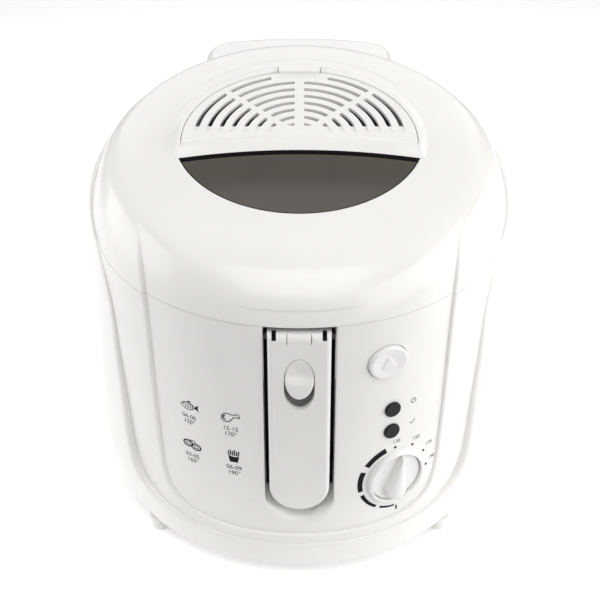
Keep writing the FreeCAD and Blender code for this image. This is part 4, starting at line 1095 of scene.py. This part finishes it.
def wire(path, r, closed=False, sides=8):
    p = np.asarray(path, float)
    if closed:
        t = np.roll(p, -1, 0) - np.roll(p, 1, 0)
    else:
        t = np.gradient(p, axis=0)
    t /= np.linalg.norm(t, axis=1)[:, None]
    ref = np.where(np.abs(t[:, 2:3]) > 0.9, np.array([[1.0, 0, 0]]), np.array([[0, 0, 1.0]]))
    u_ = np.cross(t, ref)
    u_ /= np.linalg.norm(u_, axis=1)[:, None]
    v_ = np.cross(t, u_)
    g_ = np.array([p + r * (math.cos(a_) * u_ + math.sin(a_) * v_) for a_ in np.linspace(0, 2 * math.pi, sides + 1)])
    if closed:
        g_ = np.concatenate([g_, g_[:, :1]], 1)
    wb.grid(g_, lambda m: m - m.mean(0))


RB0, RB1, ZB0, ZB1 = 80.6, 86.2, 59.2, 117.0
ca = np.linspace(0, 2 * np.pi, 72, endpoint=False)
for k in range(9):
    z_ = ZB0 + 4.5 + (ZB1 - ZB0 - 7.5) * k / 8.0
    r_ = 83.2 + (86.0 - 83.2) * (z_ - ZB0) / (ZB1 - ZB0)
    wire(np.stack([r_ * np.cos(ca), YC + r_ * np.sin(ca), np.full(72, z_)], 1), 0.55, True, 6)
for k in range(72):
    a_ = 2 * math.pi * (k + 0.5) / 72
    pts_ = [(RB0 - 1.5, ZB0), (RB0 + 1.0, ZB0 + 0.9), (RB0 + 2.2, ZB0 + 3.0), (84.6, 90.0), (RB1, ZB1)]
    wire([(r_ * math.cos(a_), YC + r_ * math.sin(a_), z_) for r_, z_ in pts_], 0.55, False, 6)
for k in range(-12, 13):
    c_ = k * 6.4
    h_ = math.sqrt(RB0 ** 2 - c_ ** 2)
    wire([(c_, YC - h_, ZB0), (c_, YC, ZB0), (c_, YC + h_, ZB0)], 0.55, False, 6)
    wire([(-h_, YC + c_, ZB0 + 0.9), (0, YC + c_, ZB0 + 0.9), (h_, YC + c_, ZB0 + 0.9)], 0.55, False, 6)
piece("wire_basket", wb.mesh("wire_basket", angle=60), WIRE, "basket", ["basket"])

# ------------------------------------------------------------------ printed marks
INK_R = R_PANEL + 0.07
ink = Skin()


def ink_faces(pts, faces, ca_, cz_, scale=1.0, rot=0.0):
    p = np.asarray(pts, float) * scale
    c_, s_ = math.cos(rot), math.sin(rot)
    p = np.stack([p[:, 0] * c_ - p[:, 1] * s_ + ca_, p[:, 0] * s_ + p[:, 1] * c_ + cz_], 1)
    idx = ink.add(on_panel(p[:, 0], p[:, 1], INK_R))
    for f in faces:
        tri = [p[i] for i in f]
        area_ = sum(tri[i][0] * tri[(i + 1) % len(tri)][1] - tri[(i + 1) % len(tri)][0] * tri[i][1] for i in range(len(tri)))
        f = f if area_ > 0 else f[::-1]
        ink.f.append(tuple(int(idx[i]) for i in f))


def ink_fill(outline, ca_, cz_, scale=1.0, rot=0.0):
    o = [Vector((*q, 0)) for q in outline]
    tris = tessellate_polygon([o])
    ink_faces(outline, [list(t) for t in tris], ca_, cz_, scale, rot)


def ink_line(path, width, ca_, cz_, scale=1.0, rot=0.0, closed=False, widths=None):
    p = np.asarray(path, float)
    if closed:
        t = np.roll(p, -1, 0) - np.roll(p, 1, 0)
    else:
        t = np.gradient(p, axis=0)
    t /= np.maximum(np.linalg.norm(t, axis=1), 1e-9)[:, None]
    nn = np.stack([-t[:, 1], t[:, 0]], 1)
    wv = (np.full(len(p), width) if widths is None else np.asarray(widths))[:, None] / 2
    pts_ = np.concatenate([p + nn * wv, p - nn * wv])
    n_ = len(p)
    f_ = [[i, i + 1, n_ + i + 1, n_ + i] for i in range(n_ - 1)]
    if closed:
        f_.append([n_ - 1, 0, n_, 2 * n_ - 1])
    ink_faces(pts_, f_, ca_, cz_, scale, rot)


def oval(cx_, cy_, a_, b_, n=28, t0=0.0, t1=360.0):
    t = np.radians(np.linspace(t0, t1, n, endpoint=t1 - t0 < 359))
    return np.stack([cx_ + a_ * np.cos(t), cy_ + b_ * np.sin(t)], 1)


def ink_text(body_, ca_, cz_, size, rot=0.0):
    cu = bpy.data.curves.new("mark", "FONT")
    cu.body = body_
    cu.size = size
    cu.align_x, cu.align_y = "CENTER", "CENTER"
    ob = bpy.data.objects.new("mark", cu)
    me = bpy.data.meshes.new_from_object(ob)
    pts_ = np.array([tuple(v.co)[:2] for v in me.vertices])
    if len(pts_):
        ink_faces(pts_, [list(q.vertices) for q in me.polygons], ca_, cz_, 1.0, rot)
    bpy.data.objects.remove(ob)
    bpy.data.meshes.remove(me)
    bpy.data.curves.remove(cu)


# dial: dots with numbers, four arcs that get thinner, a tick at the end
DA, DZ = rad(KNOB_A) * R_PANEL, KNOB_Z
for ang, num in ((93, "130"), (61, "150"), (29, "170"), (-3, "190")):
    ca_, sa_ = math.cos(rad(ang)), math.sin(rad(ang))
    ink_fill(oval(0, 0, 0.95, 0.95, 20), DA + 23.9 * ca_, DZ + 23.9 * sa_)
    ink_text(num, DA + 24.6 * ca_ + 3.4 * max(ca_, 0.0) + 0.6, DZ + 24.6 * sa_ + 3.9, 3.7)
for t0, t1, w0, w1 in ((108, 145.6, 4.2, 3.8), (156, 193, 3.8, 3.1), (201, 237.4, 2.7, 2.0), (244.7, 270.4, 1.75, 1.3)):
    ink_line(oval(0, 0, 24.6, 24.6, 26, t0, t1), 1, DA, DZ, widths=np.linspace(w0, w1, 26))
ink_line([(25.4 * math.cos(rad(273.5)), 25.4 * math.sin(rad(273.5))), (29.0 * math.cos(rad(273.5)), 29.0 * math.sin(rad(273.5)))], 1.2, DA, DZ)

# marks beside the lamps: a circle with a bar, and a tick
LA = rad(LAMP_A) * R_PANEL
ink_line(oval(0, 0, 1.7, 1.7, 26, 125, 415), 0.5, LA + 15.0, LAMP_Z[0] + 1.2)
ink_line([(0, 0.3), (0, 2.3)], 0.5, LA + 15.0, LAMP_Z[0] + 1.2)
ink_line([(-1.7, 0.2), (-0.5, -1.2), (1.9, 1.7)], 0.55, LA + 15.0, LAMP_Z[1] + 1.2)

# food signs with plain times and temperatures
# fish
fa, fz = -71.0, 119.3
body_top = [(x, 2.6 * math.sin(math.pi * (x + 5.6) / 10.4) ** 0.8) for x in np.linspace(-5.5, 4.7, 22)]
body_low = [(x, -2.9 * math.sin(math.pi * (x + 5.6) / 10.4) ** 0.8) for x in np.linspace(4.7, -5.5, 22)]
ink_line(np.array(body_top + body_low), 0.55, fa, fz, closed=True)
ink_fill([(4.2, 0.3), (7.4, 2.6), (6.6, 0.0), (7.4, -2.6), (4.2, -0.3)], fa, fz)
ink_fill(oval(-3.6, 0.7, 0.5, 0.5, 14), fa, fz)
for x_ in (-1.9, -0.2, 1.5, 3.0):
    ink_line(oval(x_ - 1.6, 0, 1.7, 2.2 - 0.22 * abs(x_), 12, -55, 55), 0.5, fa, fz)
ink_fill([(-1.6, 2.5), (0.6, 4.1), (2.0, 2.4)], fa, fz)
ink_text("04-06", fa, fz - 8.4, 4.4)
ink_text("150°", fa, fz - 12.6, 4.4)
# drumstick
da_, dz_ = -43.0, 120.0
leg = [(-5.6, -0.6), (-4.6, 1.9), (-2.2, 3.1), (0.3, 2.6), (2.2, 1.2), (4.4, 0.7), (5.6, 1.4), (6.6, 0.6), (6.3, -0.5), (6.8, -1.4), (5.7, -2.0),
       (4.5, -1.0), (2.3, -1.0), (0.5, -2.4), (-2.0, -3.4), (-4.6, -2.6)]
ink_line(resample(np.array(leg + leg[:1]), 60)[:-1], 0.6, da_, dz_, rot=rad(20), closed=True)
ink_line(oval(-2.2, 0.0, 2.1, 1.9, 16, 100, 250), 0.55, da_, dz_, rot=rad(20))
ink_line(oval(-1.4, 0.0, 2.2, 1.7, 16, 110, 200), 0.45, da_, dz_, rot=rad(20))
ink_text("12-15", da_ + 0.5, dz_ - 9.0, 4.4)
ink_text("170°", da_ + 0.5, dz_ - 13.3, 4.4)
# rings
ra, rz_ = -70.0, 88.3
for cx_, cy_ in ((-2.9, 0.9), (3.0, -0.4)):
    ink_line(oval(cx_, cy_, 3.3, 2.3, 30), 1.0, ra, rz_, closed=True)
    ink_line(oval(cx_, cy_, 1.7, 1.0, 24), 0.5, ra, rz_, closed=True)
ink_line(oval(0.2, 2.4, 2.5, 1.5, 20, 20, 165), 0.7, ra, rz_)
ink_text("03-05", ra, rz_ - 8.0, 4.4)
ink_text("160°", ra, rz_ - 12.2, 4.4)
# chips in a cup
ga_, gz_ = -41.0, 89.8
ink_fill([(-3.6, 0.2), (-2.0, -0.5), (0.0, -0.75), (2.0, -0.5), (3.6, 0.2), (2.6, -5.0), (-2.6, -5.0)], ga_, gz_)
for x_, top_, lean in ((-3.0, 3.4, -0.7), (-1.9, 4.6, -0.35), (-0.7, 3.9, -0.1), (0.5, 4.9, 0.1), (1.7, 3.7, 0.4), (2.8, 4.2, 0.75)):
    ink_line([(x_, 0.25), (x_ + lean, top_)], 0.8, ga_, gz_)
ink_text("06-09", ga_, gz_ - 9.4, 4.4)
ink_text("190°", ga_, gz_ - 13.8, 4.4)
piece("printed_marks", ink.mesh("printed_marks", weld=1e-7, angle=60), INK, "base")

# painted shade: the insides of the two notches at the top of the handle get the black material for the shade in them
grip_me = NODE["handle_grip"].data
grip_me.materials.append(PAINTED_SHADE_BLACK)
grip_me.materials.append(PAINTED_POCKET_SHADE)
for q in grip_me.polygons:
    x_, y_, z_ = (v / MM for v in NODE["handle_grip"].matrix_world @ q.center)
    if 13.2 < abs(x_) < 16.0 and -139.0 < y_ < -134.0 and z_ > 182.1 + LIFT and z_ < 186.2 + LIFT:
        q.material_index = 1
    # painted shade: the floor of the pocket in which the thumb button slides gets a dark material for the shade under
    # the button
    if abs(x_) < 9.8 and -137.2 < y_ < -135.4 and 130.0 < z_ - LIFT < 172.0 and q.normal.y < -0.9:
        q.material_index = 2

# ------------------------------------------------------------------ soft edges on the drawn parts
for name, wd, seg_ in (("filter_cover", 0.35, 2), ("handle_grip", 0.3, 2), ("viewing_window", 0.2, 2),
                       ("feet", 0.4, 2), ("cord_gland", 0.4, 2)):
    md = NODE[name].modifiers.new("soft_edges", "BEVEL")
    md.width = wd * MM
    md.segments = seg_
    md.limit_method = "ANGLE"
    md.angle_limit = rad(38)
    md.use_clamp_overlap = True
    md.harden_normals = False

# ------------------------------------------------------------------ stage, light, camera
# one sheet of white paper, a little brighter behind the part than in front of it
fl = bpy.data.meshes.new("floor")
fl.from_pydata([(-1.2, -1.8, -0.0002), (1.2, -1.8, -0.0002), (1.2, 1.6, -0.0002), (-1.2, 1.6, -0.0002)], [], [(0, 1, 2, 3)])
floor = bpy.data.objects.new("floor", fl)
bpy.context.scene.collection.objects.link(floor)
fm = bpy.data.materials.new("floor_paper")
fm.use_nodes = True
ft = fm.node_tree
fb = ft.nodes["Principled BSDF"]
nz = ft.nodes.new("ShaderNodeTexNoise")
nz.inputs["Scale"].default_value = 3.0
tc = ft.nodes.new("ShaderNodeTexCoord")
sx = ft.nodes.new("ShaderNodeSeparateXYZ")
ft.links.new(tc.outputs["Object"], sx.inputs["Vector"])


def along(v0, v1):
    """value that goes from v0 in front of the part to v1 beside and behind it"""
    mr = ft.nodes.new("ShaderNodeMapRange")
    for k_, v_ in (("From Min", -0.30), ("From Max", -0.19), ("To Min", v0), ("To Max", v1)):
        mr.inputs[k_].default_value = v_
    ft.links.new(sx.outputs["Y"], mr.inputs["Value"])
    return mr.outputs["Result"]


ml = ft.nodes.new("ShaderNodeMath")
ml.operation = "MULTIPLY_ADD"
ml.inputs[1].default_value = 0.03
ft.links.new(nz.outputs["Fac"], ml.inputs[0])
ft.links.new(along(0.285, 0.835), ml.inputs[2])
ft.links.new(ml.outputs["Value"], fb.inputs["Base Color"])
ft.links.new(along(0.22, 0.28), fb.inputs["Emission Strength"])
fb.inputs["Roughness"].default_value = 0.9
fb.inputs["Specular IOR Level"].default_value = 0.0
fb.inputs["Emission Color"].default_value = (1, 1, 1, 1)
fl.materials.append(fm)

sc = bpy.context.scene
world = bpy.data.worlds.new("studio")
sc.world = world
world.use_nodes = True
wn = world.node_tree
bg = wn.nodes["Background"]
bg.inputs["Color"].default_value = (1, 1, 1, 1)
bg.inputs["Strength"].default_value = 0.06


def area(name, loc, aim, size, power, size_y=None, color=(1, 1, 1)):
    ld = bpy.data.lights.new(name, "AREA")
    ld.energy = power
    ld.color = color
    ld.shape = "RECTANGLE"
    ld.size = size
    ld.size_y = size_y or size
    o = bpy.data.objects.new(name, ld)
    sc.collection.objects.link(o)
    o.location = loc
    o.rotation_euler = (Vector(aim) - Vector(loc)).to_track_quat("-Z", "Y").to_euler()
    return o


area("tent_right", (0.95, 0.0, 0.46), (0, 0, 0.13), 1.1, 7.5, 0.9)
area("tent_left", (-0.95, 0.0, 0.46), (0, 0, 0.13), 1.1, 7.2, 0.9)
area("tent_top", (0, 0.05, 1.16), (0, 0, 0.16), 1.2, 2.8)
area("tent_back", (0, 1.0, 0.76), (0, 0, 0.21), 1.4, 4.8, 0.8)
area("front_right", (0.75, -0.8, 0.51), (0, -0.05, 0.13), 0.7, 3.8, 0.8)
area("front_top", (0, -0.75, 1.16), (0, -0.05, 0.16), 0.8, 6.4)

cam_d = bpy.data.cameras.new("camera")
cam = bpy.data.objects.new("camera", cam_d)
sc.collection.objects.link(cam)
cam.location = (0.0004, -0.7421, 0.6269)
cam.rotation_euler = (rad(90 - 34), 0, 0)
cam_d.lens = 1303.0 / 600.0 * 36.0
cam_d.sensor_width = 36.0
cam_d.clip_start, cam_d.clip_end = 0.01, 50
sc.camera = cam
sc.view_settings.view_transform = "Standard"
